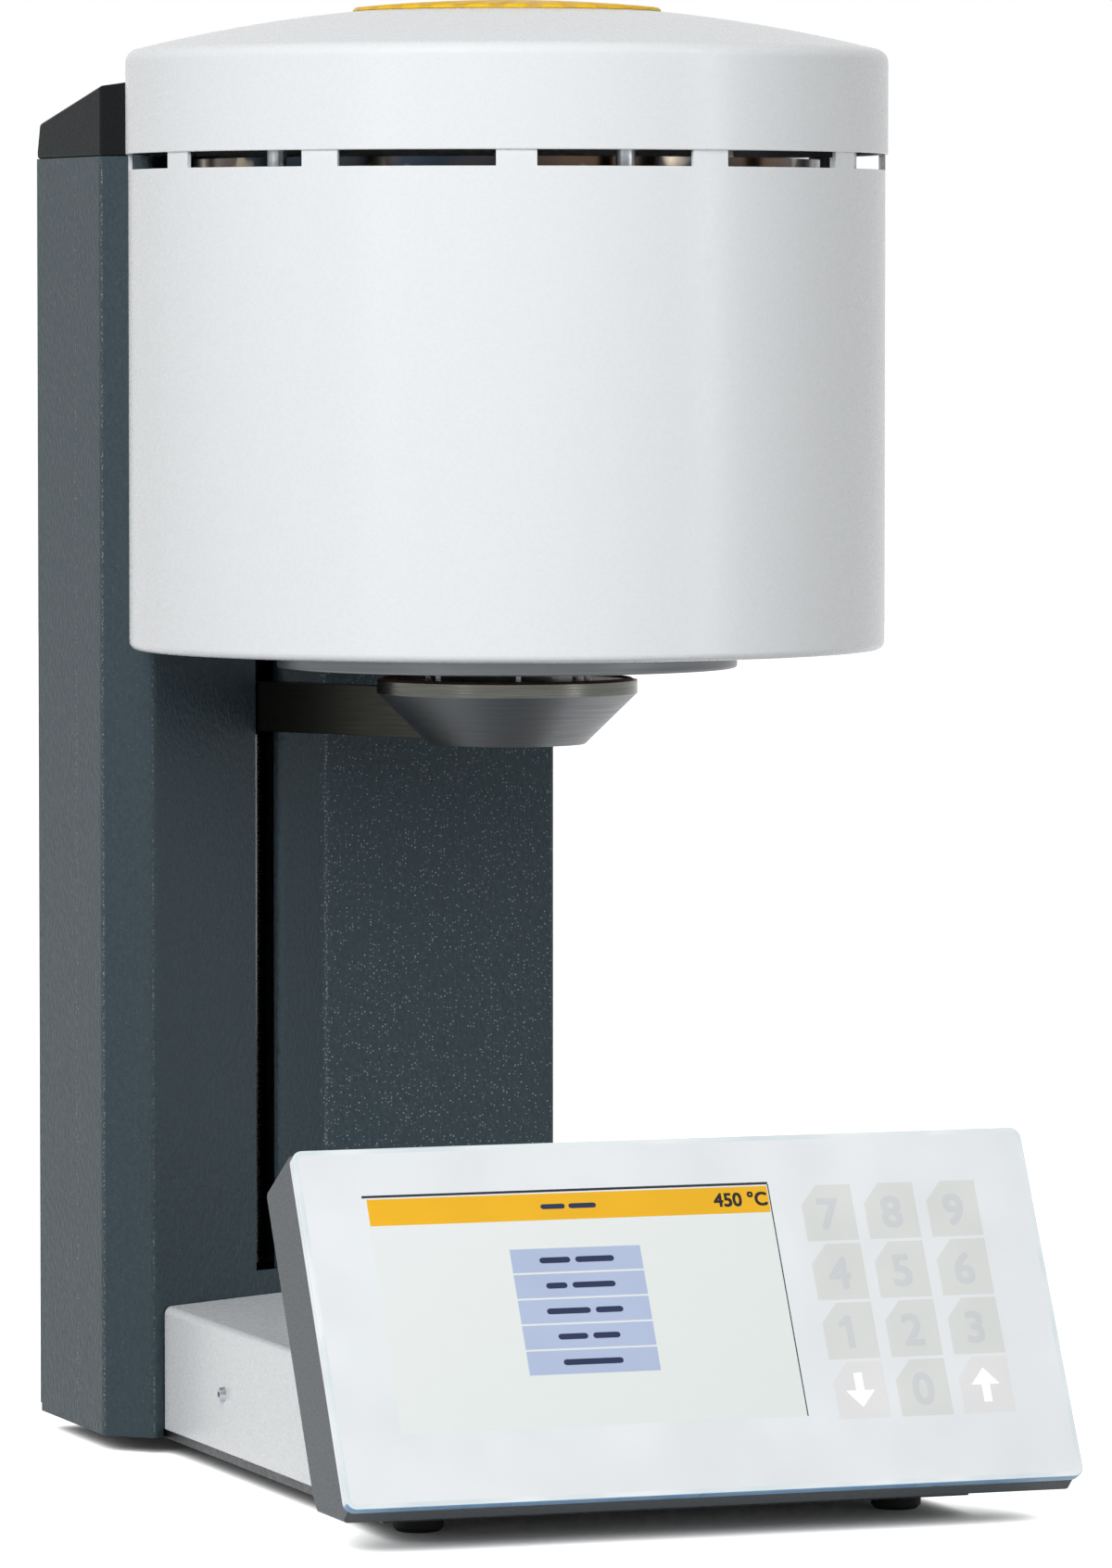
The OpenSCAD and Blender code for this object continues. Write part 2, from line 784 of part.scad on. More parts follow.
// Cut-out of the back plate round a body of the given width and height
module back_cut(x, z, body) translate([x - body[0] / 2 - play, back_in_y - cut, z - body[1] / 2 - play])
  cube([body[0] + 2 * play, back_t + 2 * cut, body[1] + 2 * play]);

module column_back() color(anthracite) machine() difference() {
  translate([-column_left, back_in_y, plate_t]) cube([column_left + column_right, back_t, seam_z - plate_t]);
  case_screw_holes();
  back_cut(inlet_x, inlet_z, inlet_body);
  back_cut(inlet_x, switch_z, switch_body);
  translate([0, back_in_y - cut, 0]) {
    translate([fuse_x, 0, inlet_z]) lying(fuse_body_r + joint_gap, back_t + 2 * cut);
    translate([vacuum_x, 0, vacuum_z]) lying(port_thread_r + joint_gap, back_t + 2 * cut);
    fan_grille_cuts();
    for (i = [0:1], k = [0:louvre_n - 1])
      translate([louvre_x + i * louvre_step, 0, louvre_top_z - k * louvre_pitch])
        cube([louvre_w, back_t + 2 * cut, louvre_h]);
  }
}

// Level slots that fill the fan's circle, either side of an upright rib
module fan_grille_cuts() for (k = [-3:3], s = [-1, 1]) {
  half = sqrt(pow(grille_r, 2) - pow(k * grille_pitch, 2));
  slot_l = half - grille_rib / 2;
  translate([fan_x + (s > 0 ? grille_rib / 2 : -half), 0, fan_z + k * grille_pitch - grille_slot_h / 2])
    cube([slot_l, back_t + 2 * cut, grille_slot_h]);
}

// Wedge over the column, drawn in by g, lowest at the back
module cap_wedge(g) {
  low_z = seam_z - (g > 0 ? cut : 0);
  back_y = column_back + 1 - g;
  lean = 4.5;
  fold_y = slant_line_y(-slant_end, 0);
  across(4 * column_left) polygon([
    [0, low_z], [back_y, low_z], [back_y - lean, seam_z + cap_back_h - g],
    [fold_y, seam_z + cap_front_h - g], [0, seam_z + cap_front_h - g]]);
}

module column_cap() color(black) machine() difference() {
  intersection() {
    cap_wedge(0);
    linear_extrude(2 * seam_z) polygon(column_plan(0));
  }
  intersection() {
    cap_wedge(cap_t);
    linear_extrude(2 * seam_z) difference() {
      polygon(column_plan(cap_t));
      circle(r = lid_r + play + cap_t);
    }
  }
  cylinder(r = lid_r + play, h = 2 * seam_z);
}

// Lift

module lift_frame() color(dark_steel) lift_space() {
  translate([-lift_plate_left, lift_plate_y, plate_t])
    cube([lift_plate_left + lift_plate_right, lift_plate_t, lift_plate_h]);
  translate([-lift_plate_left, lift_plate_y - lift_foot[1], plate_t]) cube(lift_foot);
}

module at_rods() for (s = [-1, 1]) translate([s * rod_off, spindle_y, 0]) children();

module lift_block(z) translate([0, 0, z]) difference() {
  translate([-carriage_half_w, carriage_front_y, 0])
    cube([carriage_half_w + block_right, lift_plate_y - carriage_front_y, block_t]);
  at_rods() translate([0, 0, -cut]) cylinder(r = rod_r, h = block_t + 2 * cut);
  translate([0, spindle_y, -cut]) cylinder(r = bearing_r, h = block_t + 2 * cut);
}

module lower_block() color(steel) lift_space() lift_block(lower_block_z);
module upper_block() color(steel) lift_space() lift_block(upper_block_z);

module guide_rods() color("#d7dadc") lift_space() at_rods()
  translate([0, 0, lower_block_z]) cylinder(r = rod_r, h = upper_block_z + block_t - lower_block_z);

module spindle_bearings() color("#9a9da0") lift_space() for (z = [lower_block_z, upper_block_z])
  translate([0, spindle_y, z + bearing_in])
    tube(bearing_r, spindle_r + run_gap, block_t - 2 * bearing_in);

module lift_spindle() color("#a9acae") lift_space()
  translate([0, spindle_y, coupling_z + coupling_floor])
    cylinder(r = spindle_r, h = upper_block_z + block_t + 2 - coupling_z - coupling_floor);

// Coupling with two slots that let it flex
module shaft_coupling() color("#8d9396") lift_space() translate([0, spindle_y, coupling_z]) difference() {
  cylinder(r = coupling_r, h = lower_block_z - coupling_z - 1);
  translate([0, 0, coupling_floor]) cylinder(r = spindle_r, h = lower_block_z);
  for (k = [0:1]) rotate([0, 0, 180 * k])
    translate([spindle_r + 1, -coupling_slot[1] / 2, coupling_slot_z + k * coupling_slot_step])
      cube(coupling_slot);
}

// Square motor with cut corners and four threaded holes, over its end cap
module lift_motor() color("#2b2d2f") lift_space() translate([0, spindle_y, motor_z]) {
  difference() {
    intersection() {
      translate([-motor_w / 2, -motor_w / 2, 0]) cube([motor_w, motor_w, motor_h]);
      rotate([0, 0, 45]) translate([-motor_across / 2, -motor_across / 2, 0])
        cube([motor_across, motor_across, motor_h]);
    }
    for (a = [45:90:315]) rotate([0, 0, a]) translate([motor_hole_at, 0, motor_h - motor_hole_l])
      cylinder(r = motor_hole_r, h = motor_hole_l + cut);
  }
  translate([-motor_w / 2, -motor_w / 2, -motor_cap_h]) cube([motor_w, motor_w, motor_cap_h - lap]);
}

module limit_switches() color(black) lift_space()
  for (z = limit_z) translate([limit_x, lift_plate_y - limit_body[1], z]) {
    cube(limit_body);
    translate([limit_lever_at[0], -limit_lever[1], limit_lever_at[1]]) cube(limit_lever);
  }

module at_arm_screws(y) for (s = [-1, 1], z = arm_screw_z)
  translate([s * arm_screw_x, y, carriage_low_z + z]) rotate([-90, 0, 0]) children();

module lift_carriage() color(steel) lift_space() difference() {
  translate([-carriage_half_w, carriage_front_y, carriage_low_z])
    cube([2 * carriage_half_w, 2 * carriage_half_d, carriage_h]);
  translate([0, 0, carriage_low_z - cut]) {
    at_rods() cylinder(r = bush_r, h = carriage_h + 2 * cut);
    translate([0, spindle_y, 0]) cylinder(r = nut_r, h = carriage_h + 2 * cut);
  }
  at_arm_screws(carriage_front_y - cut) cylinder(r = arm_screw_r, h = 10);
}

module carriage_bushings() color(brass) lift_space() at_rods() for (z = [0, carriage_h - bush_l])
  translate([0, 0, carriage_low_z + z]) tube(bush_r, rod_r + run_gap, bush_l);

module spindle_nut() color(brass) lift_space() translate([0, spindle_y, carriage_low_z]) {
  tube(nut_r, spindle_r + run_gap, nut_l);
  translate([0, 0, -nut_flange_t]) tube(nut_flange_r, spindle_r + run_gap, nut_flange_t);
}

module lift_arm() color(dark_steel) lift_space() difference() {
  union() {
    translate([-arm_w / 2, -arm_reach, arm_low_z]) cube([arm_w, foot_plate_y + arm_reach, arm_h]);
    translate([-foot_plate_w / 2, foot_plate_y, carriage_low_z])
      cube([foot_plate_w, foot_plate_t, carriage_h]);
  }
  at_arm_screws(foot_plate_y - cut) {
    cylinder(r = arm_screw_r + joint_gap, h = foot_plate_t + 2 * cut);
    cylinder(r = arm_screw_head_r + play, h = counterbore + cut);
  }
}

module arm_screws() color("#303234") lift_space() at_arm_screws(foot_plate_y + counterbore) {
  translate([0, 0, -arm_screw_head_h]) cylinder(r = arm_screw_head_r, h = arm_screw_head_h);
  cylinder(r = arm_screw_r, h = arm_screw_l);
}

// Table with a conical underside, a groove for its seal and a slot for the arm
module lift_table() color("#7b7d7e") lift_space() translate([0, 0, table_low_z]) difference() {
  top_h = table_cone_h + table_rim_h;
  groove_h = top_h - 2 * seal_r + 0.8;
  cone_r = table_r - table_cone_h;
  rotate_extrude() polygon([
    [0, 0], [cone_r - 1.2, 0], [cone_r - 0.2, 0.4], [cone_r + 0.4, 1],
    [table_r - 0.6, table_cone_h], [table_r, table_cone_h + 0.8], [table_r, top_h - 0.5],
    [table_r - 0.5, top_h], [seal_mid + seal_room, top_h], [seal_mid + seal_room, groove_h],
    [seal_mid - seal_room, groove_h], [seal_mid - seal_room, top_h], [0, top_h]]);
  translate([-arm_w / 2 - 0.15, -arm_reach - joint_gap, -cut])
    cube([arm_w + 0.3, table_r + 20, arm_top_z - table_low_z + cut]);
}

module table_seal() color("#8e2f22") lift_space() translate([0, 0, seal_z])
  rotate_extrude() translate([seal_mid, 0]) circle(r = seal_r, $fn = small_fn);

module at_pins() for (k = [0:pin_n - 1])
  rotate([0, 0, 360 * k / pin_n + pin_turn]) translate([pin_at, 0, table_top_z]) children();

// Plinth with a raised rim round its top
module firing_plinth() color(fibre) lift_space() difference() {
  low_h = pin_h - pin_in;
  rim = plinth_r - 8;
  tray_h = plinth_h - 1.5;
  translate([0, 0, table_top_z]) rotate_extrude() polygon([
    [0, low_h], [plinth_r - 1, low_h], [plinth_r, low_h + 1], [plinth_r, plinth_h - 2],
    [plinth_r - 2, plinth_h], [rim, plinth_h], [rim - 1, tray_h], [0, tray_h]]);
  at_pins() cylinder(r = pin_r + pin_play, h = pin_h, $fn = pin_fn);
}

module locating_pins() color(steel) lift_space() at_pins() cylinder(r = pin_r, h = pin_h, $fn = pin_fn);

// Head

// Outline of the lid from rim to crown, drawn in by g, as radius and height
function lid_arc(g) = concat(
  [[lid_r - g, seam_z]],
  [for (k = [0:6]) let (a = shoulder_end * k / 6)
    [shoulder_c + (shoulder_r - g) * cos(a), shoulder_z + (shoulder_r - g) * sin(a)]],
  [for (k = [1:12]) let (a = shoulder_end + (90 - shoulder_end) * k / 12)
    [(dome_r - g) * cos(a), dome_c_z + (dome_r - g) * sin(a)]]);

module head_lid() color(white) machine()
  rotate_extrude($fn = 180) polygon(concat(lid_arc(0), reversed(lid_arc(lid_t))));

// Section of a shallow dome of radius r from the axis out past the disc's rim, closed 20 mm lower
function disc_arc(r) = let (far = disc_r + 2, low = r - 20) concat([[0, low], [far, low]],
  [for (k = [8:-1:0]) let (x = far * k / 8) [x, sqrt(r * r - x * x)]]);

module lid_disc() color(yellow) machine() difference() {
  intersection() {
    translate([0, 0, crown_z - disc_depth]) cylinder(r = disc_r, h = disc_depth + disc_proud);
    translate([0, 0, dome_c_z]) difference() {
      rotate_extrude() polygon(disc_arc(dome_r + disc_proud));
      rotate_extrude() polygon(disc_arc(dome_r + disc_gap));
    }
  }
  for (k = [0:rib_n - 1]) rotate([0, 0, 360 * k / rib_n])
    translate([rib_start_r, 0, crown_z - disc_depth]) rotate([0, 0, rib_slant])
      translate([-rib_back, -rib_w[0], 0]) linear_extrude(disc_depth + disc_proud + 2)
        polygon([[0, 0], [rib_l, 0], [rib_l, rib_w[1]], [0, rib_w[0]]]);
}

// Quarter round of the jacket's lower edge, drawn in by g, at step k of five
function jacket_edge(g, k) = [
  head_r - jacket_edge_r + (jacket_edge_r - g) * sin(18 * k),
  head_low_z + jacket_edge_r - (jacket_edge_r - g) * cos(18 * k)];

module head_shell() color(white) machine() difference() {
  rotate_extrude($fn = 180) polygon(concat(
    [[jacket_mouth_r, head_low_z]], [for (k = [0:5]) jacket_edge(0, k)],
    [[head_r, seam_z], [head_r - jacket_t, seam_z]], [for (k = [5:-1:0]) jacket_edge(jacket_t, k)],
    [[jacket_mouth_r, head_low_z + jacket_t]]));
  for (k = [0:vent_n - 1]) rotate([0, 0, -90 + vent_turn + 360 * k / vent_n])
    translate([0, 0, seam_z - vent_h]) linear_extrude(vent_h + cut) vent_sector();
  translate([0, 0, head_low_z - cut]) linear_extrude(jacket_h + 2 * cut) polygon(column_plan(-play));
}

module vent_sector() {
  far = head_r + 12;
  polygon([[0, 0], for (s = [-1, 0, 1]) [far * cos(s * vent_deg / 2), far * sin(s * vent_deg / 2)]]);
}

module head_plate() color(steel) machine() translate([0, 0, head_plate_z])
  linear_extrude(head_plate_t) difference() {
    circle(r = head_r - jacket_t - 4);
    circle(r = chamber_r + muffle_t + 5);
    polygon(column_plan(-bracket_t - play));
  }

// Two angles, one screwed to each front face of the column, that carry the head plate
module head_bracket() color(steel) {
  low_z = head_plate_z - bracket_foot_t;
  machine() translate([bracket_x, column_front - bracket_t, low_z]) bracket_angle();
  lift_space() translate([-bracket_left, slant_dist - bracket_t, low_z]) bracket_angle();
}

module bracket_angle() {
  difference() {
    cube([bracket_w, bracket_t, bracket_h]);
    for (z = bracket_hole_z) translate([bracket_w / 2, -cut, z]) lying(bracket_hole_r, bracket_t + 2 * cut);
  }
  translate([0, -bracket_foot, 0]) cube([bracket_w, bracket_foot, bracket_foot_t]);
}

module lid_posts() color(steel) machine() for (a = [-150, -90, -30, 30])
  rotate([0, 0, a]) translate([post_at, 0, head_floor_z])
    cylinder(r = post_r, h = post_top_z - head_floor_z);

module chamber_flange() color(dark_steel) machine() rotate_extrude() polygon([
  [chamber_r, ring_low_z], [ring_r - 1, ring_low_z], [ring_r, ring_low_z + 1], [ring_r, head_plate_z],
  [chamber_r, head_plate_z]]);

module heat_shield() color("#d9dcde") machine() difference() {
  translate([0, 0, head_floor_z]) tube(shield_r + shield_t, shield_r, shield_top_z - head_floor_z);
  for (k = [0:1]) translate([lead_x + k * lead_step, 0, lead_z]) lying(lead_r + 1.2, head_r);
  translate([vacuum_x, 0, vacuum_z]) lying(hose_r + 1.5, head_r);
}

module muffle_tube() color("#e6eef0") machine() translate([0, 0, head_plate_z])
  tube(chamber_r + muffle_t, chamber_r, muffle_h);

module muffle_insulation() color(fibre) machine() difference() {
  translate([0, 0, head_floor_z]) tube(insulation_r, coil_mid + 4, muffle_top_z - head_floor_z);
  translate([vacuum_x, coil_mid, vacuum_z]) lying(2.5, insulation_r);
}

module roof_insulation() color(fibre) machine() translate([0, 0, muffle_top_z])
  tube(insulation_r, probe_r + 0.6, roof_t);

module roof_plate() color(steel) machine() translate([0, 0, roof_top_z]) difference() {
  tube(insulation_r + 11, probe_r + 0.8, roof_plate_t);
  for (a = tie_angles) rotate([0, 0, a]) translate([tie_at, 0, -cut])
    cylinder(r = tie_r + 0.1, h = roof_plate_t + 2 * cut);
}

// Tie rods with a hexagon nut on the roof plate
module tie_rods() color(steel) machine() for (a = tie_angles) rotate([0, 0, a]) translate([tie_at, 0, 0]) {
  translate([0, 0, head_floor_z]) cylinder(r = tie_r, h = roof_plate_top_z + tie_end - head_floor_z);
  translate([0, 0, roof_plate_top_z]) cylinder(r = tie_nut_r, h = tie_nut_h, $fn = 6);
}

function coil_point(t, s) = let (a = 360 * t, b = 360 * s / coil_sides)
  [(coil_mid + coil_wire_r * cos(b)) * cos(a), (coil_mid + coil_wire_r * cos(b)) * sin(a),
   coil_low_z + coil_pitch * t + coil_wire_r * sin(b)];

// Heating winding: one wire wound round the muffle tube
module heating_coil() color("#8a7a6c") machine() {
  last = coil_turns * coil_rings;
  polyhedron(
    points = [for (k = [0:last], s = [0:coil_sides - 1]) coil_point(k / coil_rings, s)],
    faces = concat(
      [[for (s = [0:coil_sides - 1]) s]],
      [for (k = [0:last - 1], s = [0:coil_sides - 1])
        let (a = k * coil_sides + s, b = k * coil_sides + (s + 1) % coil_sides)
        each [[a, a + coil_sides, b + coil_sides], [a, b + coil_sides, b]]],
      [[for (s = [coil_sides - 1:-1:0]) last * coil_sides + s]]));
  echo(coil_least_gap = coil_pitch - 2 * coil_wire_r);
}

module thermocouple() color("#d8d2c4") machine() {
  translate([0, 0, muffle_top_z - probe_in]) cylinder(r = probe_r, h = roof_t + probe_in + roof_plate_t + 1);
  translate([0, 0, roof_plate_top_z]) cylinder(r = probe_head_r, h = probe_head_h);
}

module terminal_block() color("#e8e0cc") machine()
  translate([lead_x + lead_step / 2 - terminal[0] / 2, terminal_y, roof_plate_top_z]) difference() {
    cube(terminal);
    for (k = [1:3]) translate([k * terminal[0] / 4, terminal_hole_y, terminal[2] / 2])
      cylinder(r = terminal_hole_r, h = terminal[2]);
  }

// Leads run straight back out of the head, then down to the power board
module heater_leads() color("#c8c3b6") machine() for (k = [0:1]) translate([lead_x + k * lead_step, 0, 0]) {
  translate([0, lead_start_y, lead_z]) lying(lead_r, lead_turn_y - lead_start_y);
  translate([0, lead_turn_y, lead_z - lead_turn_r]) rotate([90, 0, 90]) rotate_extrude(angle = 90)
    translate([lead_turn_r, 0]) circle(r = lead_r, $fn = small_fn);
  translate([0, lead_turn_y + lead_turn_r, lead_end_z])
    cylinder(r = lead_r, h = lead_z - lead_turn_r - lead_end_z);
}

// Electrics

// Ring-core transformer under its clamping washer and bolt
module transformer() color("#3a6f94") machine() translate([core_x, core_y, plate_t]) {
  rotate_extrude() polygon([
    [core_hole_r, 0], [core_r - core_step, 0], [core_r, core_edge], [core_r, core_h - core_edge],
    [core_r - core_step, core_h], [core_hole_r + core_step, core_h], [core_hole_r, core_h - core_edge]]);
  cylinder(r = core_bolt_r, h = core_h + 2 * core_washer_t);
  translate([0, 0, core_h]) cylinder(r = core_washer_r, h = core_washer_t);
}

// Board on four bosses with a relay, a filter, two capacitors and the leads' terminal
module power_board() color(board_green) machine() {
  translate([board_x - board_w / 2, board_y, board_z]) cube([board_w, board_t, board_h]);
  for (s = [-1, 1], z = [board_boss_in, board_h - board_boss_in])
    translate([board_x + s * (board_w / 2 - board_boss_in), board_y + board_t, board_z + z])
      lying(board_boss_r, back_in_y - board_y - board_t);
  translate([board_x, board_y, board_z]) {
    translate([relay_at[0], -relay[1], relay_at[1]]) cube(relay);
    translate([filter_at[0], -filter[1], filter_at[1]]) cube(filter);
    for (z = capacitor_z) translate([capacitor_x, -capacitor_h, z]) lying(capacitor_r, capacitor_h);
  }
  translate([lead_x + (lead_step - lead_clamp[0]) / 2, board_y - lead_clamp[1], lead_clamp_z])
    cube(lead_clamp);
}

// Three-pin appliance inlet
module mains_inlet() color(black) machine() translate([inlet_x, 0, inlet_z]) difference() {
  union() {
    translate([0, column_back, 0]) rotate([-90, 0, 0]) linear_extrude(inlet_flange_t) inlet_flange();
    translate([-inlet_body[0] / 2, back_in_y - inlet_in, -inlet_body[1] / 2])
      cube([inlet_body[0], back_t + inlet_in + lap, inlet_body[1]]);
    for (k = [-1:1]) translate([k * tab_step - tab[0] / 2, back_in_y - inlet_in - tab[1], tab_z])
      cube([tab[0], tab[1] + lap, tab[2]]);
  }
  difference() {
    translate([-inlet_cavity[0] / 2, column_back - inlet_cavity_in, -inlet_cavity[1] / 2])
      cube([inlet_cavity[0], inlet_cavity_in + inlet_flange_t + cut, inlet_cavity[1]]);
    for (p = inlet_pins) {
      low_y = column_back - inlet_cavity_in - 1;
      translate([p[0] - inlet_pin[0] / 2, low_y, p[1] - inlet_pin[1] / 2])
        cube([inlet_pin[0], inlet_pin_top_y - low_y, inlet_pin[1]]);
    }
  }
  for (s = [-1, 1]) translate([s * ear_x, column_back - cut, 0]) lying(ear_hole_r, inlet_flange_t + 2 * cut);
}

// Flange whose ends taper to the ears
module inlet_flange() {
  half = inlet_flange_half;
  flat = inlet_flange_flat;
  polygon([
    [-flat[0], -half[1]], [flat[0], -half[1]], [half[0], -flat[1]], [half[0], flat[1]],
    [flat[0], half[1]], [-flat[0], half[1]], [-half[0], flat[1]], [-half[0], -flat[1]]]);
}

module switch_frame() color(black) machine() translate([inlet_x, 0, switch_z]) difference() {
  union() {
    translate([-switch_flange[0] / 2, column_back, -switch_flange[2] / 2]) cube(switch_flange);
    translate([-switch_body[0] / 2, back_in_y - switch_in, -switch_body[1] / 2])
      cube([switch_body[0], back_t + switch_in + lap, switch_body[1]]);
  }
  translate([-switch_cavity[0] / 2, back_in_y - switch_cavity_in, -switch_cavity[1] / 2])
    cube([switch_cavity[0], switch_cavity_in + back_t + switch_flange[1] + cut, switch_cavity[1]]);
  translate([-pivot_l / 2 - 0.1, pivot_y, 0]) rotate([0, 90, 0])
    cylinder(r = pivot_r + run_gap, h = pivot_l + 0.2, $fn = small_fn);
}

// Rocker whose two wings slope down to its middle
module power_rocker() color("#26292b") machine()
  translate([inlet_x, pivot_y, switch_z]) rotate([-rocker_lean, 0, 0]) {
    across(rocker_w) polygon(rocker_side);
    translate([-pivot_l / 2, 0, 0]) rotate([0, 90, 0]) cylinder(r = pivot_r, h = pivot_l, $fn = small_fn);
  }

// Round fuse holder with a slotted cap
module fuse_holder() color(black) machine() translate([fuse_x, column_back, inlet_z]) rotate([-90, 0, 0]) {
  cylinder(r = fuse_flange_r, h = fuse_flange_t);
  translate([0, 0, fuse_flange_t - lap]) difference() {
    cylinder(r = fuse_cap_r, h = fuse_cap_h + lap);
    translate([-fuse_slot[0] / 2, -fuse_slot[1] / 2, fuse_cap_h - fuse_slot[2]])
      cube([fuse_slot[0], fuse_slot[1], fuse_slot[2] + cut]);
  }
  translate([0, 0, -fuse_in]) cylinder(r = fuse_body_r, h = fuse_in + lap);
}

module vacuum_port() color(brass) machine() translate([vacuum_x, column_back, vacuum_z])
  rotate([-90, 0, 0]) difference() {
    union() {
      cylinder(r = port_flange_r, h = port_flange_t, $fn = 6);
      translate([0, 0, port_flange_t - lap]) cylinder(r = barb_r, h = barb_l + lap);
      translate([0, 0, -port_thread_l]) cylinder(r = port_thread_r, h = port_thread_l + lap);
    }
    translate([0, 0, -port_thread_l - cut])
      cylinder(r = port_bore_r, h = port_thread_l + port_flange_t + barb_l + 2 * cut);
  }

// Valve block under its coil, with a lug towards the column's front
module vacuum_valve() color("#8b8f92") machine() translate([vacuum_x, valve_y, vacuum_z]) {
  difference() {
    translate([-valve_w / 2, 0, -valve_w / 2]) cube([valve_w, valve_d, valve_w]);
    translate([0, -cut, 0]) lying(hose_bore_r, valve_d + 2 * cut);
  }
  translate([-valve_coil_w / 2, valve_coil_y, valve_w / 2])
    cube([valve_coil_w, valve_coil_w, valve_coil_h]);
  translate([-valve_lug[0] / 2, -valve_lug[1], valve_lug_z]) cube(valve_lug);
}

// Two straight lengths of silicone hose: chamber to valve, valve to port
module vacuum_hose() color("#cfd3d4") machine() {
  start_y = sqrt(pow(insulation_r, 2) - pow(vacuum_x + hose_r, 2)) + 0.8;
  valve_back_y = valve_y + valve_d;
  translate([vacuum_x, start_y, vacuum_z]) rotate([-90, 0, 0]) tube(hose_r, hose_bore_r, valve_y - start_y);
  translate([vacuum_x, valve_back_y, vacuum_z]) rotate([-90, 0, 0])
    tube(hose_r, hose_bore_r, column_back - port_thread_l - valve_back_y);
}

module fan_frame() color("#2a2c2e") machine() translate([fan_x, fan_y, fan_z]) {
  hole_at = fan_w / 2 - fan_hole_in;
  difference() {
    translate([-fan_w / 2, 0, -fan_w / 2]) cube([fan_w, fan_d, fan_w]);
    translate([0, -cut, 0]) lying(fan_r, fan_d + 2 * cut);
    for (sx = [-1, 1], sz = [-1, 1]) translate([sx * hole_at, -cut, sz * hole_at])
      lying(fan_hole_r, fan_d + 2 * cut);
  }
  for (a = [20:120:260]) rotate([0, a, 0]) translate([10, fan_d - 2.5, -1.5]) cube([fan_r - 9, 2, 3]);
  translate([0, fan_d - 3, 0]) lying(fan_hub_r + 1, 3);
  translate([0, 3, 0]) lying(fan_axle_r, fan_d - 5);
}

module fan_rotor() color("#33363a") machine() translate([fan_x, fan_y, fan_z]) {
  difference() {
    translate([0, 1.5, 0]) lying(fan_hub_r, fan_d - 5);
    translate([0, 2.5, 0]) lying(fan_axle_r + run_gap, fan_d);
  }
  for (k = [0:blade_n - 1]) rotate([0, k * 360 / blade_n, 0])
    translate([fan_hub_r - 1, fan_d / 2 - 1.2, 0]) rotate([blade_twist, 0, 0])
      translate([0, -blade_t / 2, -blade_w / 2]) cube([fan_r - fan_hub_r - 0.2, blade_t, blade_w]);
}

base_plate();
base_cover();
rubber_feet();
case_screws();
panel_housing();
panel_glass();
display_module();
keypad_board();
controller_board();
panel_bracket();
column_shell();
column_back();
column_cap();
lift_frame();
guide_rods();
lower_block();
upper_block();
spindle_bearings();
lift_motor();
limit_switches();
head_bracket();
head_plate();
head_shell();
head_lid();
lid_disc();
lid_posts();
chamber_flange();
heat_shield();
muffle_tube();
muffle_insulation();
roof_insulation();
heating_coil();
thermocouple();
roof_plate();
tie_rods();
terminal_block();
heater_leads();
transformer();
power_board();
mains_inlet();
switch_frame();
power_rocker();
fuse_holder();
vacuum_port();
vacuum_valve();
vacuum_hose();
fan_frame();
fan_rotor();
lift_carriage();
carriage_bushings();
spindle_nut();
lift_arm();
arm_screws();
lift_table();
table_seal();
firing_plinth();
locating_pins();
lift_spindle();
shaft_coupling();
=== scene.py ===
# Dental porcelain furnace, dressed for a close look.
#
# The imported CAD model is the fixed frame: its nodes give every place and size, and the pieces made
# here take the place of the visible ones. Lengths are metres in the shared frame, +X right, -Y
# towards the user, +Z up. Run as a script; the add-on form keeps each piece on a button of its own.

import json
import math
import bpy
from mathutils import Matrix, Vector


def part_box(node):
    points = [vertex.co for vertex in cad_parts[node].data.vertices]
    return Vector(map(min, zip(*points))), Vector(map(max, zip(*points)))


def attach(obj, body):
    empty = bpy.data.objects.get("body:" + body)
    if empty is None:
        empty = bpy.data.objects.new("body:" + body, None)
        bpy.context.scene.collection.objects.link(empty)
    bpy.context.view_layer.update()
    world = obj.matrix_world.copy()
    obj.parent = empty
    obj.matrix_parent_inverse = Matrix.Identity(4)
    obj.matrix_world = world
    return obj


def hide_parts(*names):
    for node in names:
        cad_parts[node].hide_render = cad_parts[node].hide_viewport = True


bl_info = {
    "name": "Dental Porcelain Furnace",
    "version": (1, 0, 0),
    "blender": (4, 5, 0),
    "location": "3D View > Sidebar > Furnace",
    "description": "Builds a dental porcelain furnace's pieces, finishes and studio round its CAD frame",
    "category": "Add Mesh",
}

import bmesh
import bpy
from bpy.props import FloatProperty, FloatVectorProperty, IntProperty, PointerProperty
from bpy.types import Operator, Panel, PropertyGroup
from mathutils import Matrix, Vector

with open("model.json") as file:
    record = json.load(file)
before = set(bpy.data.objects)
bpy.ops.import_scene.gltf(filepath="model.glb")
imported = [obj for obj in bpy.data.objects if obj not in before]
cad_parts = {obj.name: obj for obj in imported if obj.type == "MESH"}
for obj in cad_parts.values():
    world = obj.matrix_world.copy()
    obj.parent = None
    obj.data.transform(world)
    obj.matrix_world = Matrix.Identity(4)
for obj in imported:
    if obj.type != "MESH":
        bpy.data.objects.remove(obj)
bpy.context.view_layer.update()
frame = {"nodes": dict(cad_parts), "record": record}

MM = 0.001
BOX = {node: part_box(node) for node in frame["nodes"]}
LOW, HIGH = 0, 1
SLOT = {part["node"]: part["material_slot"] for part in frame["record"]["subparts"]}
BODY = {node: body for body, nodes in frame["record"]["behaviour"]["bodies"].items() for node in nodes}

# Directions, and how near two places count as one
FORWARD, DOWN = Vector((0, -1, 0)), Vector((0, 0, -1))
NEAR = 0.01 * MM

